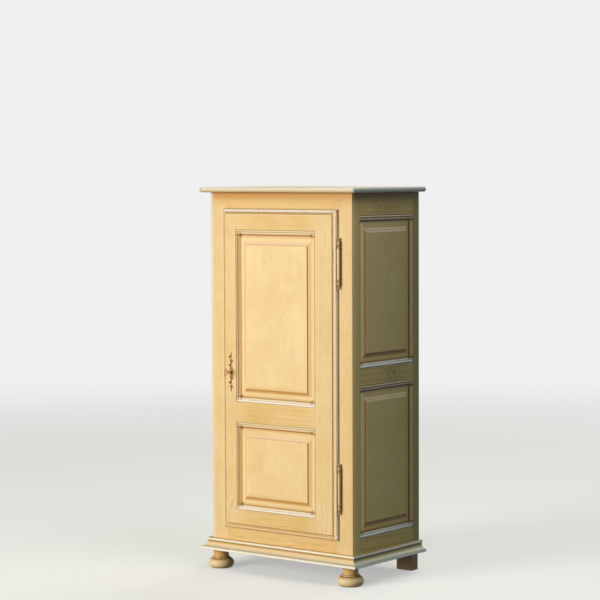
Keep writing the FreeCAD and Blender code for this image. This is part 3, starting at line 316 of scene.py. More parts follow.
# Across the front: a rosy off-white painted highlight at the left corner, and painted shade that deepens the yellow
# towards the right.
FRONT_HIGHLIGHT_AND_SHADE = ((-343, "#FBE4CC", 60), (-334, "#FAE2C6", 45), (-329, "#FAE2C6", 0), (0, "#DDA658", 0),
               (280, "#DDA658", 16), (333, "#DDA658", 18), (339, "#D8A660", 35), (344, "#C49656", 60))
# Painted shadow cast by the door on the carcass along its edge, outside it, with a pale painted highlight at the lock
# side: lock side, hinge side, below and above.
DOOR_RECTANGLE = (-277.5, 277.5, 170.0, 1416.0)
DOOR_SHADE = (
    ((-4, "#E8C48C", 0), (-2, "#FBE0BC", 50), (0.5, "#E2BC88", 50)),
    ((-8, "#E4B87C", 0), (-5, "#D2A668", 50), (-1, "#C0904E", 70), (0.5, "#C0904E", 80)),
    ((-4.5, "#E4B87C", 0), (-2.5, "#BE8E50", 80), (0.5, "#A87A42", 80)),
    ((-5, "#E4B87C", 0), (-3, "#BE9C68", 80), (0.5, "#A88450", 85)))


def carcass_paint(name, along, seed, tones, figure, tips=()):
    """Carcass paint: the ground, the side panels' bands, the painted light and shade from front to back, the painted
    shadow from the top down and round the door, and the joint lines."""
    finish = blank("casein_paint_on_" + name)
    plain, height = paint_ground(finish, along, seed, tones, figure)
    place = hand_drawn(finish)
    still = add(finish, SPLIT, (hand_drawn(finish, 0.05),)).outputs
    # Painted shade: the sides darker and olive.
    colour = laid_over(finish, plain, still[1], SIDE_PAINTED_SHADE)
    colour = arches(finish, colour, tips)
    colour = strips(finish, colour, place, 1, SIDE_OPENINGS, SIDE_STRIPS)
    for field in SIDE_FIELDS:
        colour = round_sides(finish, colour, place, 1, field, SIDE_RAISES)
    on_side = add(finish, MAP, (still[1], FRONT_FACE + 0.25, FRONT_FACE + 0.75)).outputs[0]
    on_front = add(finish, MATH, (1.0, on_side), "SUBTRACT")
    level = add(finish, SPLIT, (hand_drawn(finish, 1.2),)).outputs[2]
    drop = add(finish, MATH, (UNDER_SIDE, level), "SUBTRACT")
    # Painted shadow under the top board, first on the front and then on the sides.
    colour = laid_over(finish, colour, drop, FRONT_TOP_SHADOW, on_front)
    colour = laid_over(finish, colour, drop, SIDE_TOP_SHADOW, on_side)
    # Painted light near the side's front corner and painted shade towards its rear.
    colour = laid_over(finish, colour, still[1], SIDE_LIGHT_TO_SHADE)
    # Painted highlight at the front's left corner and painted shade towards its right.
    colour = laid_over(finish, colour, still[0], FRONT_HIGHLIGHT_AND_SHADE, on_front)
    # Painted shadow of the door on the carcass round its edge.
    colour = round_sides(finish, colour, place, 0, DOOR_RECTANGLE, DOOR_SHADE, on_front)
    colour = joint_lines(finish, colour, 1, SIDE_OPENINGS, 0.45)
    # Only the outer faces are picked out: more than 16 mm inside them, behind the front's face, the paint is plain.
    from_middle = add(finish, MATH, (still[0],), "ABSOLUTE")
    within = add(finish, MAP, (from_middle, HALF_WIDTH - 14.0, HALF_WIDTH - 16.0))
    within = add(finish, MATH, (within, on_side), "MULTIPLY")
    return glazed(finish, mixed(finish, colour, plain, within), height, 0.0025)


def coat(finish, *names):
    """Give these CAD nodes a finish."""
    for name in names:
        mesh = nodes[name].data
        for index in range(len(mesh.materials)):
            mesh.materials[index] = finish


# Each gives the eye the same rubbed yellow, with its strokes along the grain: up the posts and panels, and level
# on the rails. The side rails show the wild figure of flat-sawn oak.
SIDES = ("left", "right")
coat(carcass_paint("upright_oak", 2, 0.0, UPRIGHT_TONES, 0.06), "carcass_pegs",
     *(f"{end}_{side}_post" for end in ("front", "rear") for side in SIDES))
coat(carcass_paint("side_panels", 2, 1.9, PANEL_TONES, 0.05),
     *(f"{side}_side_{level}_panel" for side in SIDES for level in ("upper", "lower")))
coat(carcass_paint("front_rails", 0, 3.1, RAIL_TONES, 0.14), "front_top_rail", "front_bottom_rail")
coat(carcass_paint("side_rails", 1, 5.7, RAIL_TONES, 0.6, (((40.0, 1436.0), 1.0), ((70.0, 784.0), -1.0))),
     *(f"{side}_side_{level}_rail" for side in SIDES for level in ("top", "middle", "bottom")))

# ---- Top board ----
# One oak plank with a rounded edge on three sides, pegged down on the posts.
# Its edge is picked out in off-white over the yellow, rubbed through in places.


def outline(start, steps, fine=10):
    """Points along an outline: a step of two numbers is a straight line to there, and a step of four is an arc
    through its middle to its end, on the circle through the three points, in equal angles."""
    points = [np.array([start], float)]
    for step in steps:
        here, there = points[-1][-1], np.array(step[-2:], float)
        if len(step) == 2:
            points.append(there[None])
            continue
        middle = np.array(step[:2], float)
        sides = 2.0 * np.array([middle - here, there - here])
        squares = np.array([middle @ middle - here @ here, there @ there - here @ here])
        centre = np.linalg.solve(sides, squares)
        angles = np.unwrap(np.arctan2(*(np.array([here, middle, there]) - centre).T[::-1]))
        turn = np.linspace(angles[0], angles[2], fine + 1)[1:]
        radius = np.linalg.norm(here - centre)
        points.append(centre + radius * np.stack([np.cos(turn), np.sin(turn)], 1))
    return np.concatenate(points)


def skin(name, shells, finish, body, sharp):
    """One mesh piece from closed skins. A skin is rings of points, all of one count: each point joins the next
    of its ring and its like in the next ring. Its ends are flat faces, or join each other in a loop. Edges
    sharper than an angle in degrees stay sharp."""
    points, faces, start = [], [], 0
    for rings, ends in shells:
        count, around = rings.shape[:2]
        rows = count if ends == "loop" else count - 1
        i, j = np.meshgrid(np.arange(rows), np.arange(around), indexing="ij")
        i2, j2 = (i + 1) % count, (j + 1) % around
        quads = np.stack([i * around + j, i * around + j2, i2 * around + j2, i2 * around + j], -1)
        faces += (quads.reshape(-1, 4) + start).tolist()
        points.append(rings.reshape(-1, 3))
        if ends == "flat":
            faces.append((np.arange(around)[::-1] + start).tolist())
            faces.append((np.arange(around) + (count - 1) * around + start).tolist())
        start += count * around
    mesh = bpy.data.meshes.new(name)
    mesh.from_pydata(np.concatenate(points) / 1000.0, [], faces)
    work = bmesh.new()
    work.from_mesh(mesh)
    bmesh.ops.recalc_face_normals(work, faces=work.faces)
    work.to_mesh(mesh)
    work.free()
    mesh.shade_smooth()
    mesh.set_sharp_from_angle(angle=math.radians(sharp))
    mesh.materials.append(finish)
    piece = bpy.data.objects.new(name, mesh)
    bpy.context.scene.collection.objects.link(piece)
    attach(piece, body)
    return piece


def banded_paint(name, along, seed, wander, levels, asides=()):
    """Paint with bands by height and, over them, any bands by the distance from the middle."""
    finish = blank(name)
    colour, height = paint_ground(finish, along, seed, UPRIGHT_TONES)
    place = add(finish, SPLIT, (hand_drawn(finish, wander),)).outputs
    colour = laid_over(finish, colour, place[2], levels)
    if asides:
        from_middle = add(finish, MATH, (place[0],), "ABSOLUTE")
        colour = laid_over(finish, colour, from_middle, asides)
    return glazed(finish, colour, height)


# Off-white paint rubbed through to the yellow: a pale edge, with painted shade that makes it greyest at the sides and
# tan below.
top_edge_paint_and_shade = banded_paint("off_white_paint_rubbed_and_shaded", 0, 8.2, 0.6, (
    (1479.5, "#9A6A34", 90), (1481, "#C89A5C", 85), (1484, "#E0C298", 85), (1489, "#DCC8A6", 95),
    (1495, "#E9DDC8", 97), (1499, "#E4DCCC", 90), (1499.8, "#EBD8B4", 60), (1500.5, "#EBD3A4", 45)),
    ((364, "#C9CEC8", 0), (369, "#A6B0AE", 75), (376, "#A6B0AE", 80)))

# The edge's section is a half round with a short upright in the middle. Each ring is that section's cut-in, taken
# off three sides of the board's outline, and the back stays square.
TOP_HALF, TOP_FRONT, TOP_DEPTH, TOP_LEVEL, STEPS = 375.0, -220.55, 471.0, 1500.0, 32
nose = outline((9.5, TOP_LEVEL), ((2.7825, 1497.2175, 0.0, 1490.5), (0.0, 1489.5),
                                  (2.7825, 1482.7825, 9.5, UNDER_SIDE)), 12)
side = np.linspace(-1.0, 1.0, STEPS + 1)[:-1]
edge = np.ones(STEPS)
loop_x = np.concatenate([side, edge, -side, -edge])
loop_y = np.concatenate([-edge, side, edge, -side])
cut_in = nose[:, :1]
top_rings = np.stack([
    loop_x * (TOP_HALF - cut_in),
    TOP_FRONT + cut_in + (loop_y + 1.0) / 2.0 * (TOP_DEPTH - cut_in),
    np.broadcast_to(nose[:, 1:], (len(nose), len(loop_x)))], -1)
top_board = skin("planked_top", [(top_rings, "flat")], top_edge_paint_and_shade, "carcass", 50.0)
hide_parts("top_board")

# ---- Base moulding ----
# Three lengths of moulded oak, mitred at the front corners and nailed round the foot of the carcass: an upright
# fillet, a wide hollow and a bead above. Fillet and bead are off-white, the hollow is cream with an ochre foot line.
FRONT_BASE = (
    (75, "#C9B890", 90), (76, "#F6EEDF", 97), (80, "#FFF4E0", 100), (84.2, "#F6EAD6", 97), (84.9, "#B4A68E", 90),
    (86.6, "#C4B294", 85), (88.5, "#DCC5A0", 85), (93, "#EBCBA2", 88), (99, "#E8C593", 88), (103, "#BC9656", 90),
    (107.6, "#987234", 93), (109.2, "#B08C58", 92), (110.6, "#F6E2C0", 97), (113.5, "#FFF6E0", 100),
    (116, "#FFF0D2", 97), (118, "#EBCFA2", 90), (119, "#B4905C", 85))
# At the sides the hollow is painted dark as shade.
SIDE_BASE = (
    (75, "#C9C4B4", 90), (76, "#FFFFFF", 100), (84.2, "#FFFFFF", 100), (84.9, "#B4B2A6", 90), (86.6, "#C8C4B0", 95),
    (90, "#F0EAD0", 95), (94, "#DCD2AC", 90), (99, "#A89868", 90), (103, "#6A5A32", 93), (108.4, "#3E3420", 95),
    (109.4, "#A8A090", 95), (110.6, "#FFFFFF", 100), (115.5, "#FFFFFF", 100), (117.5, "#BDB49C", 90),
    (119, "#8E7E58", 85))

# Off-white and cream in front; at the sides greyer, with pure white beads and a hollow painted dark as shade.
front_base_paint = banded_paint("front_base_moulding_paint", 0, 11.4, 0.4, FRONT_BASE)
side_base_paint_and_shade = banded_paint("side_base_moulding_paint_and_shade", 1, 12.9, 0.4, SIDE_BASE)

section = outline((0.0, 75.0), ((35.0, 75.0), (35.0, 85.0), (33.0, 85.0), (19.35, 92.2, 13.5, 109.0), (15.0, 109.0),
                                (18.0, 114.0, 15.0, 119.0), (0.0, 119.0)), 12)
out, rise = section.T


def mitred_length(where, ends, finish):
    """One length of base moulding: the section, carried between two ends in equal steps."""
    share = np.linspace(0.0, 1.0, 25)[:, None, None]
    rings = ends[0] * (1.0 - share) + ends[1] * share
    piece = skin(where + "_base_length", [(rings, "flat")], finish, "carcass", 30.0)
    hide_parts(f"base_{where}_moulding")


# The section at each side's mitred front end and square rear end.
side_ends = [[np.stack([way * (HALF_WIDTH + out), depth, rise], 1)
              for depth in (FRONT_FACE - out, BACK_FACE + 0.0 * out)] for way in (-1, 1)]
mitred_length("front", (side_ends[0][0], side_ends[1][0]), front_base_paint)
for side, ends in zip(SIDES, side_ends):
    mitred_length(side, ends, side_base_paint_and_shade)

# ---- Feet ----
# Turned oak bun feet stand under the front posts, and plain square blocks under the rear ones.
# Glaze is caught in the turned lines and wiped off the bulbs.
foot_paint = banded_paint("turned_foot_paint", 2, 14.9, 0.3, (
    (0, "#5A3818", 90), (2, "#A97A44", 60), (7, "#EFC98C", 30), (15, "#FBE4BC", 50), (19.4, "#FBD9B4", 60),
    (20, "#B88650", 70), (20.7, "#FBE4C0", 60), (32, "#EFC790", 40), (35.6, "#B98248", 60), (37.2, "#6E4620", 95),
    (38.2, "#6E4620", 95), (39.2, "#EBC98E", 50), (41.2, "#E4BE80", 50), (42.2, "#7E5226", 85), (44.5, "#B47A38", 70),
    (52, "#D9A050", 70), (68, "#D0934A", 70), (75, "#6E4620", 90)))
coat(foot_paint, "front_left_foot", "front_right_foot")

# The blocks' paint is a dull dark brown, painted as shade.
block_paint = blank("block_foot_paint_with_painted_shade")
block_colour, block_height = paint_ground(block_paint, 2, 17.3, RAIL_TONES)
glazed(block_paint, mixed(block_paint, block_colour, "#4E3822", 0.75), block_height)
coat(block_paint, "rear_left_foot", "rear_right_foot")

# ---- Back, floor and shelves ----
# Sawn and planed oak and poplar boards, left bare inside and waxed by long use.


def bare_boards(name, along):
    """Bare boards: growth streaks along one axis, dark pores, and a grey-brown bloom of age in the corners."""
    finish = blank(name)
    place = add(finish, PLACE, ()).outputs["Object"]
    run = add(finish, "ShaderNodeMapping", {"Vector": place, "Scale": drawn_out(along, 0.04)})
    streaks = add(finish, NOISE, {"Vector": run, "Scale": 1.0 / 0.009, "Detail": 7.0, "Distortion": 0.8})
    tone = bands(finish, streaks, ((0.3, "#855F3A", 100), (0.7, "#B58C5E", 100))).outputs["Color"]
    pores = add(finish, NOISE, {"Vector": run, "Scale": 1.0 / 0.0016, "Detail": 3.0})
    tone = mixed(finish, tone, "#4E331D", add(finish, MAP, (pores, 0.6, 0.8, 0.0, 0.5)))
    hollow = add(finish, HOLLOW, {"Distance": 0.03}, samples=8).outputs["AO"]
    tone = mixed(finish, tone, "#39240F", add(finish, MAP, (hollow, 0.85, 0.3, 0.0, 0.7)))
    relief = add(finish, BUMP, {"Height": pores, "Strength": 0.4, "Distance": 0.0005})
    return surfaced(finish, {"Base Color": tone, "Roughness": 0.62, "Normal": relief})


# Both give the eye a dry mid brown with fine dark streaks, upright on the back and level inside.
coat(bare_boards("bare_upright_back_boards", 2), "back_boards")
coat(bare_boards("bare_level_boards", 0), "back_top_rail", "back_bottom_rail", "floor_board", "lower_shelf",
     "middle_shelf", "upper_shelf", "shelf_cleats")

# ---- Door ----
# Pegged oak frame with two raised panels. A nosed moulding runs round its outer edge and laps the carcass.
# The nose is off-white at the top and the hinge side, and nearly rubbed away at the lock side and the bottom, where
# it is also painted darker as shade.
DOOR_OPENINGS = ((-207.0, 179.0, 244.5, 588.0), (-207.0, 179.0, 666.0, 1337.0))
DOOR_FIELDS = ((-161.0, 137.0, 297.5, 528.0), (-161.0, 137.0, 719.0, 1277.0))
# As on the sides, each row of stops is for the near (lock), far (hinge), lower and upper side.
# The near strip has a painted highlight on its arris and painted shade across it; the upper strips are peach as
# painted shade, with a painted shadow at their foot, while the lower ones are white.
DOOR_STRIPS = (
    ((-4.5, "#FBDDB4", 0), (-3, "#FFE2C0", 70), (-0.6, "#FFE8CC", 80), (2.2, "#FFE8C8", 95), (3.6, "#D8AE80", 90),
     (8.5, "#D0A472", 90), (12, "#C4924E", 92), (15.5, "#C8954C", 92), (17.2, "#F6D290", 70), (21, "#F8D494", 60),
     (25, "#F6CE8C", 0)),
    ((-2, "#F8D79C", 0), (0, "#F4D096", 70), (4, "#FBDDA4", 70), (17, "#F8D79C", 70), (19, "#EEC68A", 70),
     (20.6, "#EEC68A", 70), (24, "#F4CC8C", 0)),
    ((-3, "#F2CC8C", 0), (-0.9, "#FBDFA8", 50), (-0.1, "#C8A478", 60), (1, "#D4B48C", 70), (2, "#FFF2E2", 97),
     (8.2, "#FFF0DE", 97), (9.2, "#D2BEA4", 90), (10.4, "#D2BEA4", 90), (11.4, "#F1DEC6", 95), (16.8, "#EFD6B4", 95),
     (18.6, "#B0823E", 92), (20.4, "#B0823E", 92), (22.5, "#D2A260", 75), (27, "#E6B876", 50), (33, "#F2C987", 0)),
    ((-3, "#F2CC8C", 0), (-0.9, "#FBDC9E", 50), (-0.1, "#AC864C", 60), (1.3, "#AC864C", 70), (2.4, "#F3D7AA", 90),
     (7.6, "#F3D7AA", 90), (8.8, "#C09864", 80), (10, "#C09864", 80), (11.2, "#F8D8AE", 95), (17.6, "#F6CE9C", 95),
     (19, "#9A682C", 95), (21.4, "#9A682C", 95), (23, "#D89C4E", 80), (28, "#E4AE62", 60), (35, "#F2C987", 0)))
# Round the raised fields: a painted shadow of the field on the far (hinge) margin, painted shade on the lower slope,
# and a painted highlight along the field's edges.
DOOR_RAISES = (
    ((-13, "#F2CC8C", 0), (-9, "#EEC282", 50), (-4, "#E4B46A", 80), (-0.4, "#E4B46A", 80), (0.9, "#FFE2A8", 50),
     (4.5, "#FFE3B2", 0)),
    ((-21, "#F2CC8C", 0), (-17, "#EBBB76", 60), (-14, "#DCA85C", 85), (-10, "#DCA85C", 85), (-8, "#EEC07C", 60),
     (-5, "#E8B66E", 70), (-3.4, "#A87434", 92), (0, "#A87434", 95), (1.2, "#FFE5B6", 60), (4.5, "#FFE3B2", 0)),
    ((-18, "#F2CC8C", 0), (-14, "#EBBD7C", 50), (-10.5, "#D8A258", 85), (-5, "#CC9348", 92), (-0.2, "#CC9348", 92),
     (1.4, "#EBB870", 75), (7, "#EDBE7C", 60), (22, "#F2CC8C", 0)),
    ((-17, "#F2CC8C", 0), (-12.5, "#E9C296", 55), (-8, "#E9C49E", 80), (-3.6, "#E6C09A", 80), (-1.6, "#D4A472", 85),
     (0.2, "#D8A874", 70), (1.1, "#FFE3B2", 60), (4.5, "#FFE3B2", 0)))
# The lower row is partly worn paint and partly painted shade where the nose faces down.
EDGES = (
    ((-0.5, "#DDB888", 60), (1.5, "#F9DDB4", 60), (8.6, "#F8DAA8", 50), (10.4, "#DDB87C", 50), (12, "#D6AE72", 60),
     (16.5, "#DDB67A", 50), (18.2, "#E0B87C", 50), (23, "#F6DBA0", 0)),
    ((-0.5, "#F3E2CC", 97), (2, "#F3E2CC", 95), (9, "#EBD6B4", 95), (10.8, "#E2C496", 90), (12, "#E6BE84", 85),
     (17.6, "#E2B678", 85), (20, "#DDB074", 70), (22, "#E8C48C", 50), (26, "#F6DBA0", 0)),
    ((-0.5, "#A87C44", 85), (1.2, "#C8985C", 80), (2.6, "#E8C692", 85), (8.6, "#E8C490", 85), (10.4, "#CE9F60", 80),
     (14, "#C8985A", 75), (17, "#B07E3E", 85), (18.6, "#B07E3E", 80), (19.8, "#F0CA8C", 40), (23, "#F6DBA0", 0)),
    ((-0.5, "#B4905C", 95), (1, "#D4B892", 92), (2.4, "#F3E6D4", 95), (9.4, "#F1E2D0", 95), (11, "#D6BC94", 90),
     (12.4, "#B08858", 85), (17.6, "#B48C56", 85), (18.8, "#C09A62", 70), (20, "#FBE6B8", 70), (24, "#F6DBA0", 0)))


def door_paint(name, along, seed, tones, figure, first=None):
    """Door paint: the ground, what is done to it first, the bands of both panels, the outer nosing and the joint
    lines, and the glaze."""
    finish = blank("casein_paint_on_door_" + name)
    colour, height = paint_ground(finish, along, seed, tones, figure)
    plain = mixed(finish, colour, "#EDC788", 0.7)
    if first:
        colour = first(finish, colour)
    place = hand_drawn(finish)
    colour = strips(finish, colour, place, 0, DOOR_OPENINGS, DOOR_STRIPS)
    for field in DOOR_FIELDS:
        colour = round_sides(finish, colour, place, 0, field, DOOR_RAISES)
    rubbed = add(finish, NOISE, {"Vector": place, "Scale": 1.0 / 9.0, "Detail": 3.0})
    rubbed = add(finish, MAP, (rubbed, 0.30, 0.46, 0.45))
    colour = round_sides(finish, colour, place, 0, DOOR_RECTANGLE, EDGES, rubbed)
    colour = joint_lines(finish, colour, 0, DOOR_OPENINGS, 0.2)
    # The door's inner face is flat and its paint is plain.
    behind = add(finish, SPLIT, (add(finish, PLACE, ()).outputs["Object"],)).outputs[1]
    behind = add(finish, MAP, (behind, -0.191, -0.189))
    return glazed(finish, mixed(finish, colour, plain, behind), height)


# The keyhole's place, the door's face, the height of each bend of the escutcheon's stem and the first's middle.
LOCK_X, LOCK_Z, DOOR_FACE, STEM_BEND, FIRST_BEND = -232.0, 782.0, -203.85, 17.0, 24.5


def wax_and_shade_in_piercings(finish, colour):
    """Old wax and dirt, with painted shade, in the openings of the escutcheon. With v the height above the keyhole,
    the patches lie to the left and right in turn, as the cosine of pi times (|v| - 24.5) over 17, and are as wide as
    that wave."""
    place = add(finish, VECTOR, (hand_drawn(finish, 0.3), (LOCK_X - 2.0, 0.0, LOCK_Z)), "SUBTRACT")
    split = add(finish, SPLIT, (place,)).outputs
    up = add(finish, MATH, (split[2],), "ABSOLUTE")
    wave = chain(finish, MATH, up, ("MULTIPLY_ADD", math.pi / STEM_BEND, -FIRST_BEND * math.pi / STEM_BEND),
                 ("COSINE",))
    way = add(finish, MATH, (split[2],), "SIGN")
    aside = chain(finish, MATH, wave, ("MULTIPLY", way), ("MULTIPLY_ADD", 3.2, split[0]), ("ABSOLUTE",))
    inside = chain(finish, MATH, wave, ("ABSOLUTE",), ("MULTIPLY_ADD", 7.4, 0.1), ("SUBTRACT", aside))
    ends = add(finish, MAP, (up, 68.0, 66.0))
    inside = add(finish, MATH, (add(finish, MAP, (inside, -0.3, 0.7)), ends), "MULTIPLY")
    return mixed(finish, colour, "#7C5000", inside)


def faded_to_stiles(finish, colour):
    """The rails' deeper tone, fading to the stiles' within 60 mm of the joints."""
    across = add(finish, SPLIT, (hand_drawn(finish, 4.0),))
    from_middle = chain(finish, MATH, across, ("ADD", 14.0), ("ABSOLUTE",))
    return laid_over(finish, colour, from_middle, ((130, "#F0CA8C", 0), (193, "#F0CA8C", 80)))


# The same rubbed yellow as the carcass, in strokes along each member. The panels are the palest.
coat(door_paint("stiles", 2, 20.5, DOOR_TONES, 0.05, wax_and_shade_in_piercings), "door_latch_stile", "door_hinge_stile",
     "door_pegs")
coat(door_paint("panels", 2, 27.1, PANEL_TONES, 0.03), "door_upper_panel", "door_lower_panel")
coat(door_paint("rails", 0, 23.8, RAIL_TONES, 0.1, faded_to_stiles), "door_top_rail", "door_middle_rail",
     "door_bottom_rail")

# ---- Hinges ----
# Fiche hinges of turned brass, two leaves let into the wood and a pin between them, with a finial at each end.
# The barrel is brown with age, with a painted highlight down its front.
# In metres: both hinges' axis, the levels of their middles, and half a barrel's height.
HINGE_AXIS, HINGE_LEVELS, HALF_BARREL = (0.286, -0.19735, 0.0), (0.366, 1.2155), 0.057


def old_brass(name, colour_of, dirt_code):
    """Unpolished brass: a colour worked out from the place, brown dirt in grooves up to 4 mm wide, and metal that
    shows only where it is clean."""
    finish = blank(name)
    place = add(finish, PLACE, ()).outputs["Object"]
    cloud = add(finish, NOISE, {"Vector": place, "Scale": 1.0 / 0.008, "Detail": 5.0}).outputs["Fac"]
    tone, bright = colour_of(finish, place, cloud)
    hollow = add(finish, HOLLOW, {"Distance": 0.004}, samples=8).outputs["AO"]
    dirt = add(finish, MAP, (hollow, 0.84, 0.45, 0.0, 0.92))
    clean = add(finish, MATH, (add(finish, MAP, (dirt, 0.0, 1.0, 0.85, 0.0)), bright), "MULTIPLY")
    gloss = add(finish, MAP, (cloud, 0.3, 0.7, 0.32, 0.48))
    relief = add(finish, BUMP, {"Height": cloud, "Strength": 0.2, "Distance": 0.0002})
    return surfaced(finish, {"Base Color": mixed(finish, tone, dirt_code, dirt), "Metallic": clean,
                             "Roughness": gloss, "Normal": relief})


def painted_front_highlight(finish, place, cloud):
    """A painted highlight: bright where the way out from the hinge axis is near the front right, by the cosine
    between the two, and browner past the ends of the barrels, on the finials."""
    out_from = chain(finish, VECTOR, place, ("SUBTRACT", HINGE_AXIS), ("MULTIPLY", (1.0, 1.0, 0.0)), ("NORMALIZE",))
    facing = add(finish, VECTOR, (out_from, (0.50, -0.866, 0.0)), "DOT_PRODUCT").outputs["Value"]
    facing = add(finish, MATH, (cloud, 0.12, facing), "MULTIPLY_ADD")
    up = add(finish, SPLIT, (place,)).outputs[2]
    past = smallest(finish, *(chain(finish, MATH, up, ("SUBTRACT", level), ("ABSOLUTE",)) for level in HINGE_LEVELS))
    facing = chain(finish, MATH, past, ("GREATER_THAN", HALF_BARREL), ("MULTIPLY_ADD", -0.10, facing))
    ramp = bands(finish, facing, ((0.1, "#9A7440", 10), (0.6, "#A87E44", 15), (0.86, "#B48E50", 30),
                                  (0.97, "#C9A869", 45), (1.08, "#D2B276", 45)))
    return ramp.outputs["Color"], ramp.outputs["Alpha"]


turned_brass = old_brass("aged_turned_brass", painted_front_highlight, "#4E3412")
coat(turned_brass, "upper_frame_knuckle", "upper_door_knuckle", "lower_frame_knuckle", "lower_door_knuckle",
     "hinge_cap_finials", "hinge_foot_finials")

# ---- Escutcheon ----
# The pierced escutcheon is cast in one piece, chased and pinned to the stile: an oval rim round the keyhole, and
# above and below it a waving stem, C scrolls against its hollows and a small bud at the tip.


def gilt_tops(finish, place, cloud):
    """Bright where the casting stands proud of the door, and brown down its flanks."""
    proud = add(finish, SPLIT, (place,)).outputs[1]
    ramp = bands(finish, proud, ((-0.2068, "#DCB05C", 50), (-0.2058, "#B98A32", 40), (-0.2047, "#7C520C", 20),
                                 (-0.2038, "#5A3A06", 10)))
    return mixed(finish, ramp.outputs["Color"], "#A0721E", cloud), ramp.outputs["Alpha"]


cast_brass = old_brass("chased_cast_brass", gilt_tops, "#553602")
coat(cast_brass, "escutcheon_pins")
# The casting's flat back lies this far behind the door's face, so that no light comes under it.
BEDDED = 0.05


def turns(count):
    """Equal angles once round, without the last, which is the first again."""
    return np.arange(count) * 2.0 * np.pi / count


def on_door(across, proud, up):
    """Places on the door, from the keyhole across and up, and proud of the bed the casting lies in."""
    return np.stack([LOCK_X + across, np.broadcast_to(DOOR_FACE + BEDDED - proud, across.shape), LOCK_Z + up], -1)


def swept(path, half_width, height):
    """A domed rib along a path of places across and up: its section is a half oval with a flat back, half_width
    to each side and height proud of the door."""
    ahead = np.gradient(path, axis=0)
    ahead /= np.linalg.norm(ahead, axis=1, keepdims=True)
    aside = np.stack([-ahead[:, 1], ahead[:, 0]], 1)
    turn = turns(16)
    flat = path[:, None] + aside[:, None] * (half_width[:, None] * np.cos(turn))[..., None]
    return on_door(flat[..., 0], np.maximum(height[:, None] * np.sin(turn), 0.0), flat[..., 1])


def c_scroll(middle, length, bend, curl, half_width, height):
    """A rib that is upright in its middle. Its heading turns by bend per mm, and faster by curl times the fourth
    power of the distance from its middle, so that both ends roll up. It swells in the middle and has a small eye
    at each end."""
    share = np.linspace(-1.0, 1.0, 61)
    angle = np.pi / 2.0 + (bend * share + curl * share ** 5 / 5.0) * length / 2.0
    step = length / 2.0 * (share[1] - share[0])
    path = np.cumsum(np.stack([np.cos(angle), np.sin(angle)], 1), axis=0) * step
    path += np.array(middle) - path[30]
    swell = 0.5 + 0.5 * np.cos(share * np.pi / 2.0) ** 0.8 + 0.45 * np.exp(-((np.abs(share) - 0.97) / 0.05) ** 2)
    swell[[0, -1]] *= 0.5
    return swept(path, half_width * swell, height * swell)


# The rim runs from the keyhole, a circle with a slot below, out to an oval that swells and shrinks six times.
HOLE_RADIUS, HALF_SLOT, SLOT_DROP = 3.6, 1.85, 12.1
around_hole = turns(96)
ray = np.stack([np.cos(around_hole), np.sin(around_hole)], 1)
slot = (np.array([HALF_SLOT, SLOT_DROP]) / np.maximum(np.abs(ray), 1e-6)).min(1)
hole_reach = np.where(ray[:, 1] < 0.0, np.maximum(HOLE_RADIUS, slot), HOLE_RADIUS)
rim_reach = (1.0 + 0.07 * np.cos(6.0 * around_hole)) / np.hypot(*(ray / (9.0, 15.5)).T)
rim_share = np.array([0.0, 0.0, 0.2, 0.42, 0.55, 0.70, 0.85, 1.0, 1.0])
rim_height = np.array([0.0, 0.9, 1.1, 1.0, 1.9, 2.4, 2.0, 0.7, 0.0])
rim_flat = ray * (hole_reach + (rim_reach - hole_reach) * rim_share[:, None])[..., None]
shells = [(on_door(rim_flat[..., 0], rim_height[:, None], rim_flat[..., 1]), "loop")]
# The stem sways by 2.6 mm to each side, and a scroll lies against each of its three hollows.
for way in (1.0, -1.0):
    rise = np.linspace(13.5, 73.0, 80)
    stem = np.stack([2.6 * np.sin(np.pi * (rise - 33.0) / STEM_BEND) * way, rise * way], 1)
    taper = np.interp(rise, (13.5, 20.0, 60.0, 67.0, 73.0), (2.0, 1.5, 1.2, 1.8, 0.6))
    shells.append((swept(stem, taper, taper * 1.1), "flat"))
    for up, side, size in ((FIRST_BEND, -1.0, 1.0), (41.5, 1.0, 0.92), (58.0, -1.0, 0.72)):
        shells.append((c_scroll((side * way * 6.0 * size, up * way), 27.0 * size, side * way * 0.075 / size,
                                side * way * 0.42 / size, 1.35 * size + 0.2, 1.8 * size), "flat"))
    for side in (-1.0, 1.0):
        shells.append((c_scroll((side * 4.4, 17.0 * way), 12.0, -side * 0.10, -side * 0.5, 1.2, 1.6), "flat"))
    tip = np.linspace(69.0, 77.4, 24)
    bud = np.interp(tip, (69.0, 70.5, 72.0, 73.2, 75.2, 76.8, 77.4), (1.2, 2.6, 1.5, 1.2, 2.1, 1.4, 0.2))
    shells.append((swept(np.stack([0.0 * tip, tip * way], 1), bud, bud * 0.9), "flat"))
escutcheon = skin("pierced_escutcheon", shells, cast_brass, "door", 60.0)
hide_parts("escutcheon")

# ---- Key ----
# The key is forged and filed: a turned shank with collar and bead, a slotted bit, and a pierced oval bow.
BOW_Y, BIT_FOOT, SLOT_TOP, BIT_TOP, HALF_BIT = -238.95, 770.5, 774.5, 781.0, 1.25


def handled(finish, place, cloud):
    """Rosy and bright all over, from handling."""
    return mixed(finish, "#D3A070", "#F2D0A4", cloud), 0.7


# The brightest of the three brasses, dark only where the bow's wires meet.
key_brass = old_brass("handled_key_brass", handled, "#4E3018")


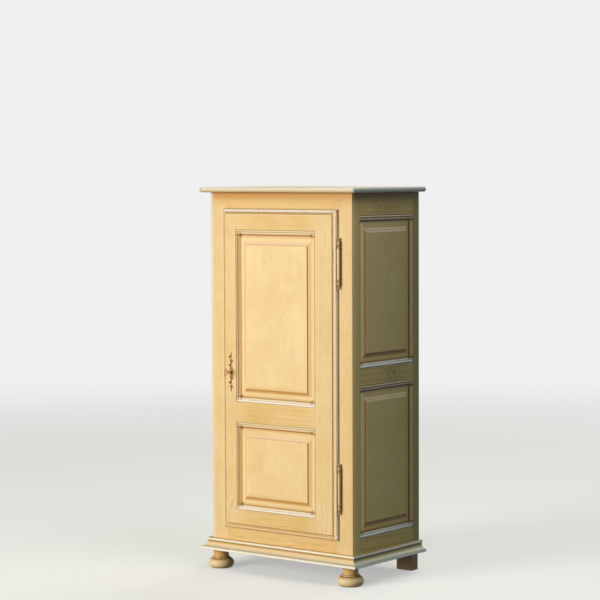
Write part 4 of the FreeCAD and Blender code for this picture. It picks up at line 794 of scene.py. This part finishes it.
def wire_loop(across, up, thick, deep):
    """A closed wire in the bow's plane, on a path of places along the shank and up. At each place, its section is
    an oval, thick in the plane, square to the path, and deep across the plane."""
    ahead = np.roll(across, -1) - np.roll(across, 1), np.roll(up, -1) - np.roll(up, 1)
    size = np.hypot(*ahead)
    offset = thick / 2.0 * np.cos(turns(12))
    y = across[:, None] - (ahead[1] / size)[:, None] * offset
    z = up[:, None] + (ahead[0] / size)[:, None] * offset
    x = np.broadcast_to(deep / 2.0 * np.sin(turns(12)), y.shape)
    return np.stack([LOCK_X + x, BOW_Y + y, LOCK_Z + z], -1)


def shank(profile):
    """Rings about the lock's level axis: at each place along it, a circle of the radius given there."""
    along, radius = np.array(profile).T[..., None]
    ring = radius * np.cos(turns(32))
    return np.stack([LOCK_X + ring, np.broadcast_to(along, ring.shape), LOCK_Z + radius * np.sin(turns(32))], -1)


# The bow's outer wire is an ellipse. Its inner wire is an ellipse whose reach grows and shrinks three times a turn,
# by 28 percent, which gives a trefoil.
turn = turns(72)
outer = wire_loop(9.55 * np.cos(turn), 14.0 * np.sin(turn), 3.8, 3.0)
lobe = 1.0 + 0.28 * np.cos(3.0 * turn)
inner = wire_loop(1.4 + 4.6 * lobe * np.cos(turn), 6.8 * lobe * np.sin(turn), 1.9, 2.2)
spine = shank(((-229.6, 0.4), (-229.4, 3.2), (-228.0, 3.6), (-226.8, 3.0), (-225.6, 3.4), (-225.3, 4.6),
               (-224.6, 5.0), (-223.3, 5.0), (-222.6, 4.6), (-222.3, 3.3), (-221.0, 3.1), (-220.4, 3.7),
               (-219.45, 4.0), (-218.5, 3.7), (-217.9, 3.1), (-205.0, 3.0), (-166.4, 3.0), (-165.85, 2.4)))
# The bit is a flat plate with one slot, given by its outline on both of its faces.
bit_outline = np.array([(-173.85, BIT_FOOT), (-171.05, BIT_FOOT), (-171.05, SLOT_TOP), (-169.65, SLOT_TOP),
                        (-169.65, BIT_FOOT), (-166.85, BIT_FOOT), (-166.85, BIT_TOP), (-173.85, BIT_TOP)])
bit = np.stack([np.column_stack([np.full(8, LOCK_X + face), bit_outline]) for face in (-HALF_BIT, HALF_BIT)])
key = skin("pierced_key", [(outer, "loop"), (inner, "loop"), (spine, "flat"), (bit, "flat")], key_brass, "key",
           45.0)
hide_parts("key")

# ---- Lock, bolt, pins and screws ----
# Forged and filed steel, dull and lightly oiled: grey, with brown where the oil has dried.
dull_steel = blank("filed_oiled_steel")
steel_place = add(dull_steel, PLACE, ()).outputs["Object"]
steel_cloud = add(dull_steel, NOISE, {"Vector": steel_place, "Scale": 1.0 / 0.009, "Detail": 6.0})
steel_tone = bands(dull_steel, steel_cloud, ((0.35, "#3A352F", 100), (0.65, "#67625B", 100)))
surfaced(dull_steel, {"Base Color": steel_tone, "Metallic": 0.9, "Roughness": 0.5})
coat(dull_steel, "hinge_pins", "frame_leaf_pins", "door_leaf_pins", "lock_case", "lock_bolt", "bolt_spring",
     "lock_screws", "strike_plate", "strike_screws")

# ---- Floor, light and camera ----
# A pale floor that fades into the pale room all round. A broad soft lamp stands in front, to the left, a weak warm
# one to the right, a cool one high at the right, and a weak one high behind. The rest is a weak cool light.
ROOM_PALE, SPOKES = 0.87, 96
floor_reach = np.array([0.6, 1.2, 2.0, 3.0, 4.5, 7.0, 11.0, 30.0, 400.0])
floor_turn = turns(SPOKES)
floor_rings = floor_reach[:, None, None] * np.stack([np.cos(floor_turn), np.sin(floor_turn), 0.0 * floor_turn], 1)
floor_points = np.concatenate([[[0.0, 0.0, 0.0]], floor_rings.reshape(-1, 3)])
i, j = np.meshgrid(np.arange(len(floor_reach) - 1), np.arange(SPOKES), indexing="ij")
first, after = 1 + i * SPOKES + j, 1 + i * SPOKES + (j + 1) % SPOKES
floor_faces = np.stack([first, first + SPOKES, after + SPOKES, after], -1).reshape(-1, 4).tolist()
floor_faces += np.stack([0 * j[0], first[0], after[0]], 1).tolist()
floor_mesh = bpy.data.meshes.new("pale_floor")
floor_mesh.from_pydata(floor_points, [], floor_faces)


def seen_or_mirrored(finish):
    """One for what the camera sees, straight or in a gloss or through glass, and none for light on the object."""
    path = add(finish, "ShaderNodeLightPath", ()).outputs
    return chain(finish, MATH, path["Is Camera Ray"], ("MAXIMUM", path["Is Glossy Ray"]),
                 ("MAXIMUM", path["Is Transmission Ray"]))


# Pale and dull, seen paler than it lights the object. From 2.5 m to 8 m out it takes the room's colour.
floor_paint = blank("pale_floor_paint")
shown = seen_or_mirrored(floor_paint)
floor_place = add(floor_paint, PLACE, ()).outputs["Object"]
floor_out = add(floor_paint, VECTOR, (floor_place,), "LENGTH").outputs["Value"]
floor_fade = add(floor_paint, MAP, (floor_out, 2.5, 8.0), interpolation_type="SMOOTHSTEP")
floor_tone = mixed(floor_paint, mixed(floor_paint, "#4C584A", "#CFCBC4", shown), "#000000", floor_fade)
floor_glow = add(floor_paint, MATH, (shown, add(floor_paint, MAP, (floor_fade, 0.0, 1.0, 0.42, ROOM_PALE))),
                 "MULTIPLY")
surfaced(floor_paint, {"Base Color": floor_tone, "Roughness": 0.9, "Specular IOR Level": 0.0,
                       "Emission Color": linear("#FFFFFF"), "Emission Strength": floor_glow})
floor_mesh.materials.append(floor_paint)
floor_object = bpy.data.objects.new("pale_floor", floor_mesh)
bpy.context.scene.collection.objects.link(floor_object)


# Every lamp is aimed at the middle of the cabinet's front.
AIM_Y, AIM_Z = -0.2, 0.85


def lamp(name, bearing, height, distance, size, power, code):
    """A round soft lamp, placed by its bearing from straight in front, to the left if negative, and its height
    above level, both in degrees."""
    light = bpy.data.lights.new(name, "AREA")
    light.shape, light.size, light.energy, light.color = "DISK", size, power, linear(code)[:3]
    made = bpy.data.objects.new(name, light)
    turn, lift = math.radians(bearing), math.radians(height)
    made.location = (distance * math.cos(lift) * math.sin(turn),
                     AIM_Y - distance * math.cos(lift) * math.cos(turn),
                     AIM_Z + distance * math.sin(lift))
    made.rotation_euler = (math.pi / 2.0 - lift, 0.0, turn)
    made.visible_camera = False
    bpy.context.scene.collection.objects.link(made)


lamp("broad_lamp", -19.0, 9.5, 8.4, 4.4, 668.0, "#FFFEF8")
lamp("warm_side_lamp", 34.0, 12.0, 5.0, 1.8, 6.5, "#FFF8E6")
lamp("high_cool_lamp", 84.0, 56.0, 4.0, 2.4, 47.0, "#F2F6FF")
lamp("back_lamp", -176.0, 52.0, 7.0, 3.0, 150.0, "#FFF8EE")

room = bpy.data.worlds.new("pale_room")
bpy.context.scene.world = room
room.use_nodes = True
room.node_tree.nodes.clear()
room_tone = mixed(room, (0.068, 0.116, 0.098, 1.0), (ROOM_PALE,) * 3 + (1.0,), seen_or_mirrored(room))
room_light = add(room, "ShaderNodeBackground", {"Color": room_tone})
add(room, "ShaderNodeOutputWorld", {"Surface": room_light})

# The eye, 8.2 m off at the front right, is tipped down and turned by a bearing, and hardly rolled, in degrees.
EYE, DOWN, BEARING, ROLL = (4.9939, -6.5171, 1.5733), 3.579, 37.736, -0.225
lens = bpy.data.cameras.new("camera")
lens.sensor_width = 36.0
lens.lens = 126.6
camera = bpy.data.objects.new("camera", lens)
camera.location = EYE
level_view = Euler((math.radians(90.0 - DOWN), 0.0, math.radians(BEARING)))
roll = Matrix.Rotation(math.radians(ROLL), 3, "Z")
camera.rotation_euler = (level_view.to_matrix() @ roll).to_euler()
bpy.context.scene.collection.objects.link(camera)
bpy.context.scene.camera = camera
bpy.context.scene.view_settings.view_transform = "Standard"
